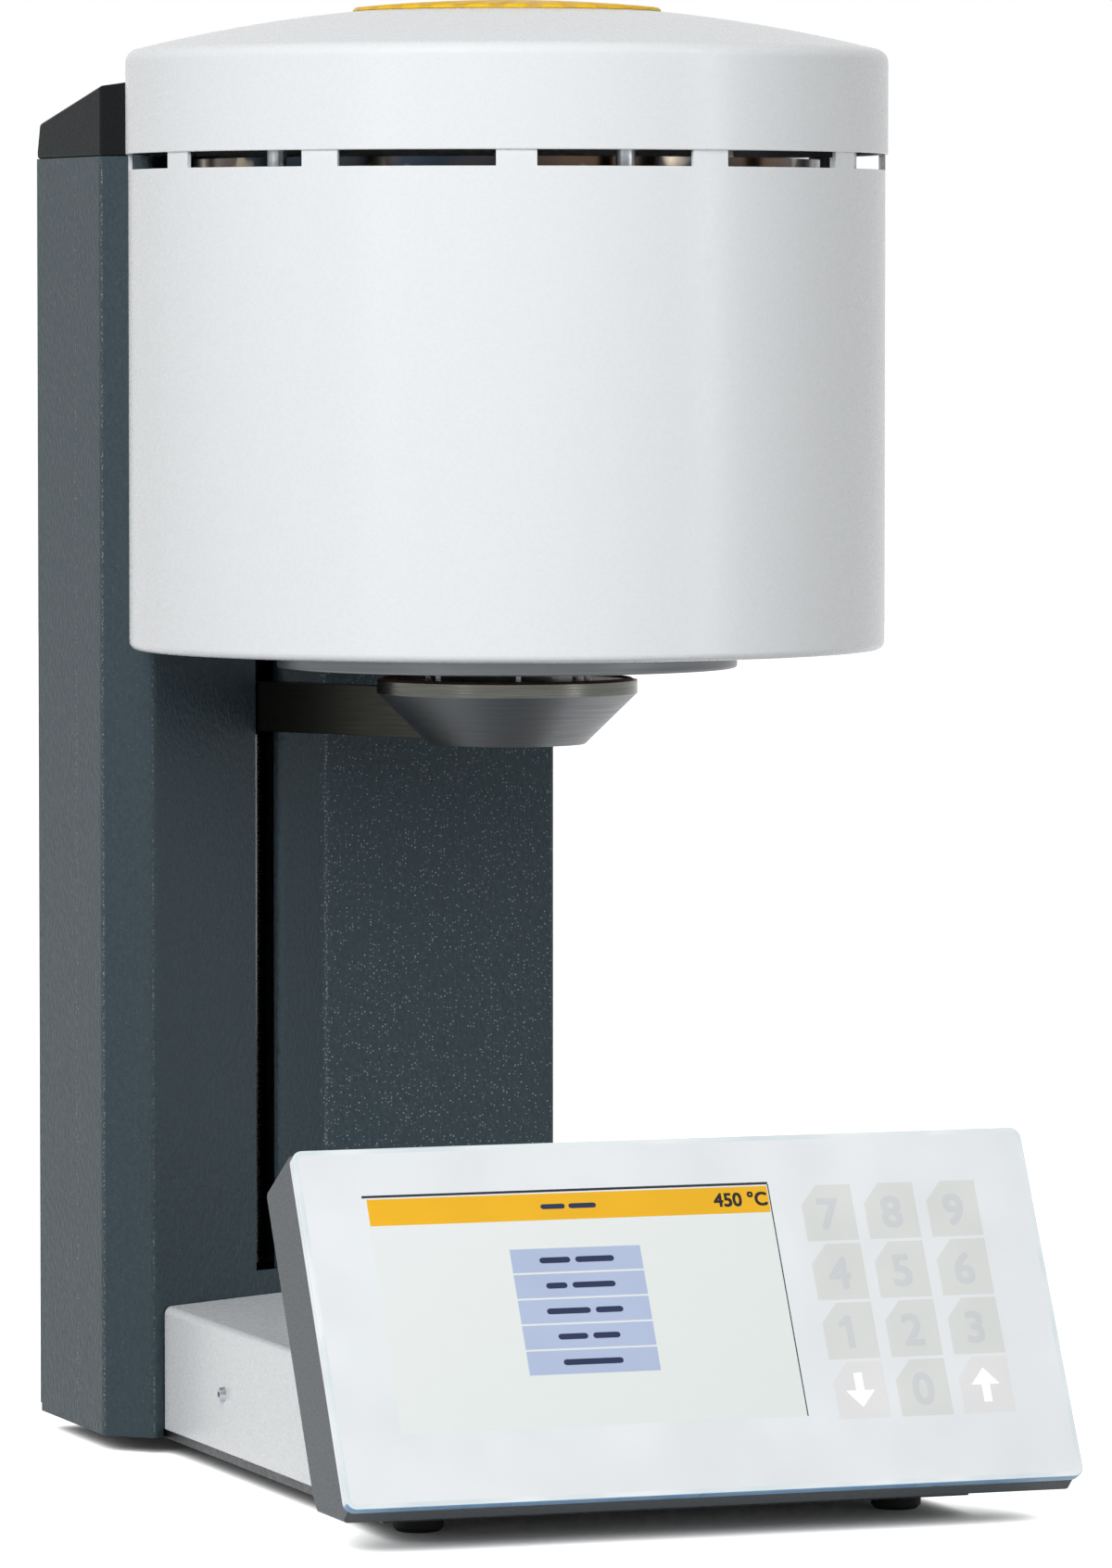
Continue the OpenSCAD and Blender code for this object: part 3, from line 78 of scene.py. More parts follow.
# The machine's own frame has the head axis at X = Y = 0 and the base's underside at Z = 0
HEAD_Y = (BOX["head_lid"][LOW].y + BOX["head_lid"][HIGH].y) / 2
FOOT_H = BOX["base_plate"][LOW].z
MACHINE = Matrix.Translation((0, HEAD_Y, FOOT_H))


def width_of(node):
    """Size of a node from side to side."""
    return BOX[node][HIGH].x - BOX[node][LOW].x


def height_of(node, end):
    """Height of a node's lowest or highest point over the base's underside."""
    return BOX[node][end].z - FOOT_H


# Sizes and colours


def linear(hex_colour):
    """Turn an sRGB hex colour into the linear one that shaders take."""
    parts = [int(hex_colour[k:k + 2], 16) / 255 for k in (1, 3, 5)]
    curve = [p / 12.92 if p <= 0.04045 else ((p + 0.055) / 1.055) ** 2.4 for p in parts]
    return (*curve, 1.0)


def length(name, description, default):
    """A distance that a user may change."""
    return FloatProperty(name=name, description=description, default=default, unit="LENGTH", precision=5)


def turn(name, description, degrees):
    """An angle that a user may change."""
    return FloatProperty(name=name, description=description, default=math.radians(degrees), subtype="ANGLE")


def colour(name, description, hex_colour):
    """A colour that a user may change."""
    return FloatVectorProperty(name=name, description=description, default=linear(hex_colour),
                               size=4, min=0, max=1, subtype="COLOR")


class HeadSizes(PropertyGroup):
    """Sizes of the firing head."""
    radius: length("Jacket radius", "Outside radius of the white jacket", width_of("head_shell") / 2)
    low: length("Jacket foot", "Height of the jacket's lower edge", height_of("head_shell", LOW))
    seam: length("Seam", "Height of the seam between jacket and lid", height_of("head_shell", HIGH))
    sheet: length("Jacket sheet", "Sheet thickness of the jacket", 1.5 * MM)
    edge: length("Jacket edge", "Radius of the jacket's rounded lower edge", 3 * MM)
    vents: IntProperty(name="Vents", description="Number of vent windows round the seam", default=12)
    vent_angle: turn("Vent width", "Width of one vent window as an angle", 24)
    vent_height: length("Vent height", "Height of a vent window", 5.8 * MM)
    vent_turn: turn("First vent", "Turn of the first vent window from straight ahead", -3)
    lid_radius: length("Lid radius", "Outside radius of the lid", width_of("head_lid") / 2)
    lid_sheet: length("Lid sheet", "Wall of the lid", 1.8 * MM)
    band: length("Lid band", "Height of the lid's upright band", 33.8 * MM)
    shoulder: length("Shoulder", "Radius of the lid's shoulder", 5 * MM)
    dome: length("Dome", "Radius of the domed top", 568 * MM)
    disc_radius: length("Disc radius", "Radius of the ribbed disc", width_of("lid_disc") / 2)
    disc_rise: length("Disc rise", "Height of the disc over the dome", 1.4 * MM)
    ribs: IntProperty(name="Ribs", description="Number of curved ribs on the disc", default=26)
    rib_depth: length("Rib depth", "Depth of the grooves between the ribs", 1.05 * MM)
    rib_lean: FloatProperty(name="Rib lean", default=9.0,
                            description="How far the ribs curve from middle to rim, in radians of a rib")
    ring_radius: length("Ring radius", "Outside radius of the ring round the chamber's mouth",
                        width_of("chamber_flange") / 2)
    ring_low: length("Ring foot", "Height of the ring's underside", height_of("chamber_flange", LOW))
    ring_high: length("Ring top", "Height of the ring's top inside the head",
                      height_of("chamber_flange", HIGH))
    mouth: length("Mouth", "Clear radius of the chamber", 42 * MM)


class ColumnSizes(PropertyGroup):
    """Sizes of the folded column."""
    left: length("Left face", "Distance of the left face from the head axis", -BOX["column_shell"][LOW].x)
    right: length("Right face", "Distance of the right face from the head axis", BOX["column_shell"][HIGH].x)
    front: length("Front face", "Distance of the front face behind the head axis", 119.8 * MM)
    back: length("Back edge", "Distance of the sheet's back edges behind the head axis",
                 BOX["column_shell"][HIGH].y - HEAD_Y)
    slant_distance: length("Slanting face", "Distance of the slotted face from the head axis", 119.5 * MM)
    slant: turn("Slant", "Turn of the slotted face from straight ahead", 30)
    corner_cut: length("Corner cut", "Size of the cut corner at the front left", 15.4 * MM)
    sheet: length("Sheet", "Sheet thickness of the column", 2 * MM)
    bend: length("Bend", "Radius of the bends", 2.2 * MM)
    slot: length("Slot", "Width of the slot for the lift arm", 14.2 * MM)
    slot_low: length("Slot foot", "Height of the slot's lower end", 58.6 * MM)
    slot_high: length("Slot top", "Height of the slot's upper end", 295.2 * MM)
    slot_return: length("Slot edge", "Depth of the slot's returned edge", 3.6 * MM)
    foot_gap: length("Foot gap", "Height of the sheet's foot over the bottom plate", 3.4 * MM)
    foot_left: length("Foot left", "Where the raised foot ends, left of the head axis", 111.1 * MM)
    play: length("Play", "Gap round the column where it passes another piece", 0.4 * MM)


class BaseSizes(PropertyGroup):
    """Sizes of the base tray."""
    width: length("Width", "Width of the tray", width_of("base_cover"))
    low: length("Foot", "Height of the tray's lower edge", height_of("base_cover", LOW))
    high: length("Top", "Height of the tray's top", height_of("base_cover", HIGH))
    back: length("Back", "Distance of the tray's back behind the head axis",
                 BOX["base_cover"][HIGH].y - HEAD_Y)
    sheet: length("Sheet", "Sheet thickness of the tray", 1.5 * MM)
    edge: length("Edge", "Radius of the tray's rolled edges", 3 * MM)


class PanelSizes(PropertyGroup):
    """Sizes of the control panel."""
    width: length("Width", "Width of the glass", width_of("panel_glass"))
    height: length("Height", "Height of the glass along its slope", 134 * MM)
    glass: length("Glass", "Thickness of the glass", 4 * MM)
    corner: length("Corner", "Radius of the glass's corners", 4 * MM)
    margin: length("Margin", "Clear margin round the white print", 1.5 * MM)
    tilt: turn("Lean", "Lean of the panel from upright", 27.35)
    low_y: length("Foot", "Distance of the glass's lower edge in front of the head axis", 225.3 * MM)
    low_z: length("Foot height", "Height of the glass's lower edge", 10.9 * MM)
    inset: length("Inset", "How far the housing's ends lie inside the glass", 2 * MM)
    depth: length("Depth", "Depth of the panel from its face to its back", 40 * MM)
    screen_x: length("Screen left", "Left edge of the screen from the panel's middle", -113.8 * MM)
    screen_low: length("Screen foot", "Lower edge of the screen up the slope", 27.2 * MM)
    screen_w: length("Screen width", "Width of the screen", 151 * MM)
    screen_h: length("Screen height", "Height of the screen", 87.5 * MM)
    key_x: length("Keys left", "Left edge of the keys", 49 * MM)
    key_low: length("Keys foot", "Lower edge of the keys", 25.4 * MM)
    key_w: length("Key width", "Width of a key", 19.6 * MM)
    key_h: length("Key height", "Height of a key", 21.3 * MM)
    pitch_x: length("Key pitch", "Spacing of the keys across", 23.9 * MM)
    pitch_z: length("Key rise", "Spacing of the keys up the slope", 22.5 * MM)


class LiftSizes(PropertyGroup):
    """Sizes of the firing table and its arm."""
    table: length("Table", "Radius of the firing table", 48.4 * MM)
    rim: length("Rim", "Height of the table's rim", 4.9 * MM)
    cone: length("Cone", "Height of the table's cone", 19 * MM)
    low: length("Table foot", "Height of the table's underside", height_of("lift_table", LOW))
    arm: length("Arm", "Thickness of the arm", 12 * MM)
    arm_top: length("Arm top", "Height of the arm's upper edge", 282.7 * MM)


class FinishColours(PropertyGroup):
    """Colours of the finishes, as paint or bare metal shows them in plain light."""
    white: colour("White", "Powder coat of head, lid and tray", "#eceff1")
    anthracite: colour("Anthracite", "Textured powder coat of the column", "#3c4a51")
    # Pale grains: a few are the coat's own, most are painted glints of light on the column's front face and
    # bends
    flake_and_glint: colour("Flake", "Light grains in the textured coat", "#aeb8b8")
    casing: colour("Casing", "Fine powder coat of the panel's casing", "#394147")
    black: colour("Black", "Moulded ABS", "#17191a")
    yellow: colour("Yellow", "Moulded ABS of the disc", "#fbcd2c")
    print_white: colour("Print white", "Print behind the glass", "#f1f5f8")
    # The clear margin is painted near white, as the light that the glass's edge gathers
    lit_glass_edge: colour("Glass edge", "Clear margin of the glass", "#f6fafb")
    screen: colour("Screen", "Screen picture", "#f0f4f4")
    screen_low: colour("Screen foot", "Screen picture towards its lower right", "#eaf1ed")
    title: colour("Title bar", "Bar over the screen picture", "#fabd12")
    bar: colour("Menu bar", "Fields in the screen picture", "#bac8e6")
    ink: colour("Ink", "Marks in the screen picture", "#1b2a4f")
    line: colour("Line", "Lines round the screen picture", "#1c2530")
    readout: colour("Readout", "Temperature in the screen picture", "#0b0d11")
    key: colour("Key", "Number fields", "#e5e7e5")
    key_light: colour("Light key", "Arrow fields", "#eeeeef")
    digit: colour("Digit", "Numbers on the keys", "#d9dddf")


def share(name, description, default):
    """A level that a user may change: 1 shows a colour as it is written."""
    return FloatProperty(name=name, description=description, default=default, min=0)


class StudioSettings(PropertyGroup):
    """Light and camera."""
    room: share("Room light", "Light of the room's walls on the object", 0.40)
    ceiling: share("Ceiling light", "Light of the room's ceiling on the object", 0.14)
    key_level: share("Key light", "Light that a surface facing the large lamp gets", 0.66)
    key_turn: turn("Key turn", "Turn of the large lamp to the left of straight ahead", 42)
    key_rise: turn("Key rise", "Height of the large lamp as an angle", 31)
    key_size: length("Key size", "Side of the large lamp", 1.8)
    strip_level: share("Right strip", "Light that a surface facing the tall lamp on the right gets", 0.17)
    strip_turn: turn("Right strip turn", "Turn of the right tall lamp to the left of straight ahead", -42)
    left_level: share("Left strip", "Light that a surface facing the tall lamp on the left gets", 0.06)
    left_turn: turn("Left strip turn", "Turn of the left tall lamp to the left of straight ahead", 57)
    strip_rise: turn("Strip rise", "Height of the tall lamps as an angle", 17)
    strip_width: length("Strip width", "Width of the tall lamps", 0.42)
    strip_height: length("Strip height", "Height of the tall lamps", 2.1)
    lamp_distance: length("Lamp distance", "Distance of the lamps from what they light", 3.0)
    floor: length("Floor", "Half the side of the floor", 8.0)
    contact: length("Contact shade", "How near the object darkens the floor", 45 * MM)
    target: FloatVectorProperty(name="Target", description="What lamps and camera look at",
                                default=(0.0193, 0.0192, 0.2535), subtype="XYZ", unit="LENGTH")
    camera_turn: turn("Camera turn", "Turn of the camera to the left of straight ahead", 19.71)
    camera_rise: turn("Camera rise", "Height of the camera as an angle", 3.085)
    camera_distance: length("Camera distance", "Distance of the camera from its target", 3.428)
    sensor: FloatProperty(name="Sensor", description="Width of the sensor in millimetres", default=36)
    lens: FloatProperty(name="Lens", description="Focal length in millimetres", default=211.51)


SETTINGS = {
    "furnace_head": HeadSizes, "furnace_column": ColumnSizes, "furnace_base": BaseSizes,
    "furnace_panel": PanelSizes, "furnace_lift": LiftSizes, "furnace_colours": FinishColours,
    "furnace_studio": StudioSettings,
}


# Making pieces


def new_piece(name, bm, place, node, finishes=(), stands_for_it=True, sharp=35):
    """Turn a bmesh into a piece on a CAD node's body and in its slot, in the node's place or lying on it."""
    bmesh.ops.transform(bm, matrix=place, verts=bm.verts)
    mesh = bpy.data.meshes.new(name)
    bm.to_mesh(mesh)
    bm.free()
    mesh.shade_smooth()
    mesh.set_sharp_from_angle(angle=math.radians(sharp))
    for finish in finishes or [finish_of(SLOT[node])]:
        mesh.materials.append(finish)
    piece = bpy.data.objects.new(name, mesh)
    bpy.context.scene.collection.objects.link(piece)
    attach(piece, BODY[node])
    if stands_for_it:
        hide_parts(node)
    return piece


def broken_edges(piece, width, segments=2, least=30):
    """Break every sharp edge of a piece by a small round, with clean shading across the flats."""
    piece.data.set_sharp_from_angle(angle=math.pi)
    bevel = piece.modifiers.new("Broken edges", "BEVEL")
    bevel.width = width
    bevel.segments = segments
    bevel.limit_method = "ANGLE"
    bevel.angle_limit = math.radians(least)
    bevel.harden_normals = True
    return flat_shaded(piece)


def flat_shaded(piece):
    """Let the flats keep their shading up to the small rounds beside them."""
    normals = piece.modifiers.new("Flat faces", "WEIGHTED_NORMAL")
    normals.keep_sharp = True
    return piece


def sheet_metal(piece, thickness):
    """Give a folded sheet its thickness, inwards from its outer face."""
    wall = piece.modifiers.new("Sheet", "SOLIDIFY")
    wall.thickness = thickness
    wall.offset = -1
    wall.use_even_offset = True
    return piece


def settled(piece):
    """Make a piece's modifiers part of its mesh."""
    graph = bpy.context.evaluated_depsgraph_get()
    mesh = bpy.data.meshes.new_from_object(piece.evaluated_get(graph))
    piece.modifiers.clear()
    piece.data = mesh
    return piece


def carved(piece, place, *cutters):
    """Cut closed solids out of a piece for good."""
    tools = []
    for cutter in cutters:
        bmesh.ops.transform(cutter, matrix=place, verts=cutter.verts)
        mesh = bpy.data.meshes.new("cutter")
        cutter.to_mesh(mesh)
        cutter.free()
        tool = bpy.data.objects.new("cutter", mesh)
        bpy.context.scene.collection.objects.link(tool)
        cut = piece.modifiers.new("Cut", "BOOLEAN")
        cut.operation = "DIFFERENCE"
        cut.solver = "EXACT"
        cut.object = tool
        tools.append(tool)
    settled(piece)
    for tool in tools:
        bpy.data.meshes.remove(tool.data)
    return piece


def softened(node, width, segments=2, finish=None):
    """Copy a CAD node with its edges broken, as a piece that stands for it."""
    bm = bmesh.new()
    bm.from_mesh(frame["nodes"][node].data)
    for layer in list(bm.loops.layers.float_vector.values()):
        bm.loops.layers.float_vector.remove(layer)
    same_corner, same_flat = 0.001 * MM, math.radians(0.5)
    bmesh.ops.remove_doubles(bm, verts=bm.verts, dist=same_corner)
    bmesh.ops.dissolve_limit(bm, angle_limit=same_flat, verts=bm.verts, edges=bm.edges)
    piece = new_piece(node + "_finished", bm, Matrix.Identity(4), node, [finish_of(finish or SLOT[node])])
    if "custom_normal" in piece.data.attributes:
        piece.data.attributes.remove(piece.data.attributes["custom_normal"])
    return broken_edges(piece, width, segments)


def middle(face):
    """Middle of a face."""
    return face.calc_center_median()


def facing(bm, direction, least=0.99):
    """Faces of a bmesh that look in a direction."""
    return [face for face in bm.faces if face.normal.dot(direction) > least]


def creases(bm, least):
    """Edges of a bmesh whose two faces meet at more than an angle in degrees."""
    return [edge for edge in bm.edges if edge.is_manifold and edge.calc_face_angle() > math.radians(least)]


def rounded(bm, edges, radius, segments, clamp=True):
    """Round some edges of a bmesh."""
    bmesh.ops.bevel(bm, geom=edges, offset=radius, segments=segments, profile=0.5, affect="EDGES",
                    material=-1, clamp_overlap=clamp)


def cut_away(bm, faces):
    """Take faces out of a bmesh."""
    bmesh.ops.delete(bm, geom=faces, context="FACES")


def made_verts(result):
    """Vertices that a bmesh operator made."""
    return [part for part in result["geom"] if isinstance(part, bmesh.types.BMVert)]


def prism(points, reach):
    """Extrude a flat outline along reach into a closed solid."""
    bm = bmesh.new()
    add_prism(bm, points, reach)
    return bm


def add_prism(bm, points, reach):
    """Add an extruded outline to a bmesh and return its faces."""
    face = bm.faces.new([bm.verts.new(point) for point in points])
    top = made_verts(bmesh.ops.extrude_face_region(bm, geom=[face]))
    bmesh.ops.translate(bm, vec=reach, verts=top)
    faces = {near for vert in top + list(face.verts) for near in vert.link_faces}
    bmesh.ops.recalc_face_normals(bm, faces=list(faces))
    return faces


def block(low, high):
    """A box between two corners."""
    bm = bmesh.new()
    size = Vector(high) - Vector(low)
    centre = (Vector(high) + Vector(low)) / 2
    bmesh.ops.create_cube(bm, size=1, matrix=Matrix.Translation(centre) @ Matrix.Diagonal((*size, 1)))
    return bm


def rod(radius, start, end, segments=48):
    """A round rod between two points."""
    bm = bmesh.new()
    start, end = Vector(start), Vector(end)
    aim = (end - start).to_track_quat("Z", "Y").to_matrix().to_4x4()
    bmesh.ops.create_cone(bm, cap_ends=True, segments=segments, radius1=radius, radius2=radius,
                          depth=(end - start).length, matrix=Matrix.Translation((start + end) / 2) @ aim)
    return bm


def arc(centre_r, centre_z, radius, first, last, steps):
    """Points of a turned profile along an arc, angles from the level in degrees."""
    angles = [math.radians(first + (last - first) * k / steps) for k in range(steps + 1)]
    return [(centre_r + radius * math.cos(a), centre_z + radius * math.sin(a)) for a in angles]


# Mesh steps round a turned part
TURNED_STEPS = 192
# Distance under which mesh corners are one
SAME_POINT = 0.0001 * MM


def turned(profile, steps, closed=True):
    """Spin a profile of radius and height round the head axis."""
    bm = bmesh.new()
    verts = [bm.verts.new((r, 0, z)) for r, z in profile]
    edges = [bm.edges.new(pair) for pair in zip(verts, verts[1:])]
    if closed:
        edges.append(bm.edges.new((verts[-1], verts[0])))
    bmesh.ops.spin(bm, geom=verts + edges, cent=(0, 0, 0), axis=(0, 0, 1), angle=2 * math.pi,
                   steps=steps, use_merge=True)
    bmesh.ops.remove_doubles(bm, verts=bm.verts, dist=SAME_POINT)
    bmesh.ops.recalc_face_normals(bm, faces=bm.faces)
    return bm


def faced_out(bm, inside):
    """Point the faces of an open sheet away from a point."""
    bmesh.ops.recalc_face_normals(bm, faces=bm.faces)
    far = max(bm.faces, key=lambda face: (middle(face) - inside).length)
    if far.normal.dot(middle(far) - inside) < 0:
        bmesh.ops.reverse_faces(bm, faces=bm.faces)


def split(bm, faces, point, normal):
    """Cut some faces along a plane and keep both sides."""
    faces = list(faces)
    edges = {edge for face in faces for edge in face.edges}
    verts = {vert for face in faces for vert in face.verts}
    bmesh.ops.bisect_plane(bm, geom=[*verts, *edges, *faces], dist=SAME_POINT, plane_co=point,
                           plane_no=normal)


# Finishes


WHITE = (1, 1, 1, 1)
# Sockets of a Mix node that mixes two colours
FACTOR, FIRST, SECOND, MIXED = 0, 6, 7, 2


def fill(tree, node, inputs):
    """Set or link a node's sockets: a number, a colour or another node's output."""
    for name, value in inputs.items():
        if isinstance(value, bpy.types.NodeSocket):
            tree.links.new(value, node.inputs[name])
        else:
            node.inputs[name].default_value = value


def add(tree, kind, inputs, out=0, **settings):
    """Add a shader node with its settings, set or link its sockets, and return one of its outputs."""
    node = tree.nodes.new("ShaderNode" + kind)
    for name, value in settings.items():
        setattr(node, name, value)
    fill(tree, node, inputs)
    return None if out is None else node.outputs[out]


def chosen(name):
    """A colour as the user left it."""
    return getattr(bpy.context.scene.furnace_colours, name)


def new_finish(name, surface):
    """Start a finish: a material whose shader has plain numbers on its own sockets."""
    finish = bpy.data.materials.new(name)
    finish.use_nodes = True
    tree = finish.node_tree
    shader = tree.nodes["Principled BSDF"]
    fill(tree, shader, surface)
    return finish, tree, shader, add(tree, "TexCoord", {}, "Object")


def worked(tree, shader, pattern, shades, gloss, relief, span=(0.3, 0.7)):
    """Let one pattern steer a finish's colour, roughness and relief."""
    low, high = [linear(shade) if isinstance(shade, str) else shade for shade in shades]
    level = add(tree, "MapRange", {"Value": pattern, "From Min": span[0], "From Max": span[1]})
    shade = add(tree, "Mix", {FACTOR: level, FIRST: low, SECOND: high}, MIXED, data_type="RGBA")
    rough = add(tree, "MapRange", {"Value": level, "To Min": gloss[0], "To Max": gloss[1]})
    bump = add(tree, "Bump", {"Height": pattern, "Distance": relief})
    fill(tree, shader, {"Base Color": shade, "Roughness": rough, "Normal": bump})
    return shade


def white_powder_coat():
    """Polyester powder coat baked on sheet steel: satin white, its orange peel ripples the gloss."""
    finish, tree, shader, where = new_finish("powder_coat_white_satin", {
        "IOR": 1.5, "Specular IOR Level": 0.35})
    # Real waves are 1 to 1.5 mm long, and they are drawn a little deeper, so that they show from afar
    peel = add(tree, "TexNoise", {"Vector": where, "Scale": 1 / (1.6 * MM), "Detail": 1.0})
    worked(tree, shader, peel, (chosen("white"), "#eaedef"), gloss=(0.24, 0.32), relief=0.03 * MM)
    return finish


def anthracite_powder_coat():
    """Coarse textured powder coat: blue-grey and leathery, with sparse pale grains, and painted glints on
    the front face and along the bends.
    """
    finish, tree, shader, where = new_finish("powder_coat_anthracite_textured", {
        "IOR": 1.5, "Specular IOR Level": 0.2})
    # Folds 1 to 2 mm long lie slanting, as the coat flowed out in the oven
    slanting = add(tree, "Mapping", {"Vector": where, "Rotation": (math.radians(40), 0, 0),
                                     "Scale": (1.0, 1.0, 0.6)})
    folds = add(tree, "TexNoise", {"Vector": slanting, "Scale": 1 / (1.5 * MM), "Detail": 3.0})
    shade = worked(tree, shader, folds, ("#333f45", chosen("anthracite")), gloss=(0.42, 0.6),
                   relief=0.6 * MM)
    # Pale grains 0.4 mm wide stand about 1.2 mm apart: a few everywhere as the coat's own grain, many more
    # on the front face as painted glints of light
    cells = add(tree, "TexVoronoi", {"Vector": where, "Scale": 1 / (1.2 * MM)}).node.outputs
    chance = add(tree, "SeparateColor", {"Color": cells["Color"]})
    picked = add(tree, "MapRange", {"Value": chance, "From Min": 0.3, "From Max": 1.0})
    spot = add(tree, "MapRange", {"Value": cells["Distance"], "From Min": 0.18, "From Max": 0.3,
                                  "To Min": 1.0, "To Max": 0.0})
    depth = add(tree, "SeparateXYZ", {"Vector": where}).node.outputs["Y"]
    column = bpy.context.scene.furnace_column
    front = add(tree, "Math", {0: depth, 1: HEAD_Y + column.front, 2: 1.5 * MM}, operation="COMPARE")
    front_glint_share = add(tree, "MapRange", {"Value": front, "To Min": 0.1, "To Max": 0.75})
    grain = add(tree, "Math", {0: picked, 1: spot}, operation="MULTIPLY")
    grains_and_front_glints = add(tree, "Math", {0: grain, 1: front_glint_share}, operation="MULTIPLY")
    # Along the bends the pale grains stand close together: painted glints, where the bends catch the light
    flat = add(tree, "Mapping", {"Vector": where, "Scale": (1, 1, 0)})
    nearest = 1.0
    for x, y in column_corners(column, 0)[1:-1]:
        away = add(tree, "VectorMath", {0: flat, 1: (x, HEAD_Y + y, 0)}, "Value", operation="DISTANCE")
        nearest = add(tree, "Math", {0: nearest, 1: away}, operation="MINIMUM")
    bend = add(tree, "MapRange", {"Value": nearest, "From Min": 0.5 * MM, "From Max": 1.0 * MM,
                                  "To Min": 1.0, "To Max": 0.0})
    close = add(tree, "TexNoise", {"Vector": where, "Scale": 1 / (0.9 * MM)})
    bend_glint_spots = add(tree, "MapRange", {"Value": close, "From Min": 0.54, "From Max": 0.64, "To Max": 0.6})
    bend_glints = add(tree, "Math", {0: bend, 1: bend_glint_spots}, operation="MULTIPLY")
    # The coat's own pale grains and the painted glints together give the light specks
    weight = add(tree, "Math", {0: grains_and_front_glints, 1: bend_glints}, operation="MAXIMUM")
    grained = add(tree, "Mix", {FACTOR: weight, FIRST: shade, SECOND: chosen("flake_and_glint")}, MIXED,
                  data_type="RGBA")
    fill(tree, shader, {"Base Color": grained})
    return finish


def casing_powder_coat():
    """Fine satin powder coat of the panel's folded casing: dark grey, with a faint even grain."""
    finish, tree, shader, where = new_finish("powder_coat_anthracite_fine", {
        "IOR": 1.5, "Specular IOR Level": 0.3})
    fine = add(tree, "TexNoise", {"Vector": where, "Scale": 1 / (0.9 * MM)})
    worked(tree, shader, fine, (chosen("casing"), "#31383d"), gloss=(0.36, 0.48), relief=0.04 * MM)
    return finish


def black_abs():
    """Injection-moulded black ABS: near black, satin, with the spark grain of its mould."""
    finish, tree, shader, where = new_finish("abs_black_spark_grained", {
        "IOR": 1.53, "Specular IOR Level": 0.05})
    spark = add(tree, "TexNoise", {"Vector": where, "Scale": 1 / (0.8 * MM)})
    worked(tree, shader, spark, (chosen("black"), "#1f2123"), gloss=(0.45, 0.6), relief=0.03 * MM)
    return finish


def yellow_abs():
    """Injection-moulded yellow ABS: warm and satin, with painted shade in the grooves between the ribs."""
    head = bpy.context.scene.furnace_head
    finish, tree, shader, where = new_finish("abs_yellow_satin", {"IOR": 1.53, "Specular IOR Level": 0.06})
    spark = add(tree, "TexNoise", {"Vector": where, "Scale": 1 / (0.8 * MM)})
    shade = worked(tree, shader, spark, (chosen("yellow"), "#f2c02c"), gloss=(0.34, 0.46), relief=0.02 * MM)
    # Painted shade: the grooves between the ribs are coloured darker, as the shade that falls in them
    flat = add(tree, "Mapping", {"Vector": where, "Location": (0, -HEAD_Y, 0), "Scale": (1, 1, 0)})
    parts = add(tree, "SeparateXYZ", {"Vector": flat}).node.outputs
    bearing = add(tree, "Math", {0: parts["Y"], 1: parts["X"]}, operation="ARCTAN2")
    reach = add(tree, "VectorMath", {0: flat}, "Value", operation="LENGTH")
    lean = add(tree, "Math", {0: reach, 1: head.rib_lean / head.disc_radius}, operation="MULTIPLY")
    phase = add(tree, "Math", {0: bearing, 1: float(head.ribs), 2: lean}, operation="MULTIPLY_ADD")
    groove = add(tree, "Math", {0: phase}, operation="SINE")
    groove_shade = add(tree, "MapRange", {"Value": groove, "From Min": -0.1, "From Max": 0.7, "To Max": 0.4})
    ribbed = add(tree, "Mix", {FACTOR: groove_shade, FIRST: shade, SECOND: linear("#d49a1c")}, MIXED,
                 data_type="RGBA")
    fill(tree, shader, {"Base Color": ribbed})
    return finish


def bare_metal(name, shades, gloss, streak, relief, stretch=(1, 1, 1), rings=0.0, yaw=0.0):
    """Metal with its tool marks: an even grain, brushed along one axis, or turned round the head axis."""
    finish, tree, shader, where = new_finish(name, {"Metallic": 1.0})
    placed = add(tree, "Mapping", {"Vector": where, "Location": (0, HEAD_Y, 0), "Rotation": (0, 0, yaw),
                                   "Scale": stretch}, vector_type="TEXTURE")
    if rings:
        parts = add(tree, "SeparateXYZ", {"Vector": placed}).node.outputs
        flat = add(tree, "CombineXYZ", {"X": parts["X"], "Y": parts["Y"]})
        radius = add(tree, "VectorMath", {0: flat}, "Value", operation="LENGTH")
        bearing = add(tree, "Math", {0: parts["Y"], 1: parts["X"]}, operation="ARCTAN2")
        slow = add(tree, "Math", {0: bearing, 1: rings}, operation="MULTIPLY")
        placed = add(tree, "CombineXYZ", {"X": radius, "Y": slow, "Z": parts["Z"]})
    marks = add(tree, "TexNoise", {"Vector": placed, "Scale": 1 / streak, "Roughness": 0.6})
    worked(tree, shader, marks, shades, gloss, relief, (0.35, 0.65))
    return finish


def turned_stainless():
    """Stainless steel, turned and blasted: dark satin with fine rings round the head axis."""
    return bare_metal("stainless_steel_turned_satin", ("#6b6d6f", "#636567"), gloss=(0.36, 0.46),
                      streak=0.5 * MM, relief=0.01 * MM, rings=0.0006)


def brushed_rim():
    """Stainless steel rim, brushed round its edge: brighter, with longer lines."""
    return bare_metal("stainless_steel_turned_bright", ("#62625d", "#565652"), gloss=(0.24, 0.34),
                      streak=0.35 * MM, relief=0.012 * MM, rings=0.0008)


def brushed_arm():
    """Flat bar of hot-rolled steel, brushed lengthways and burnished dark, with an olive cast."""
    return bare_metal("flat_steel_burnished", ("#3b3b36", "#33332f"), gloss=(0.3, 0.42), streak=0.6 * MM,
                      relief=0.012 * MM, stretch=(1, 50, 1), yaw=bpy.context.scene.furnace_column.slant)


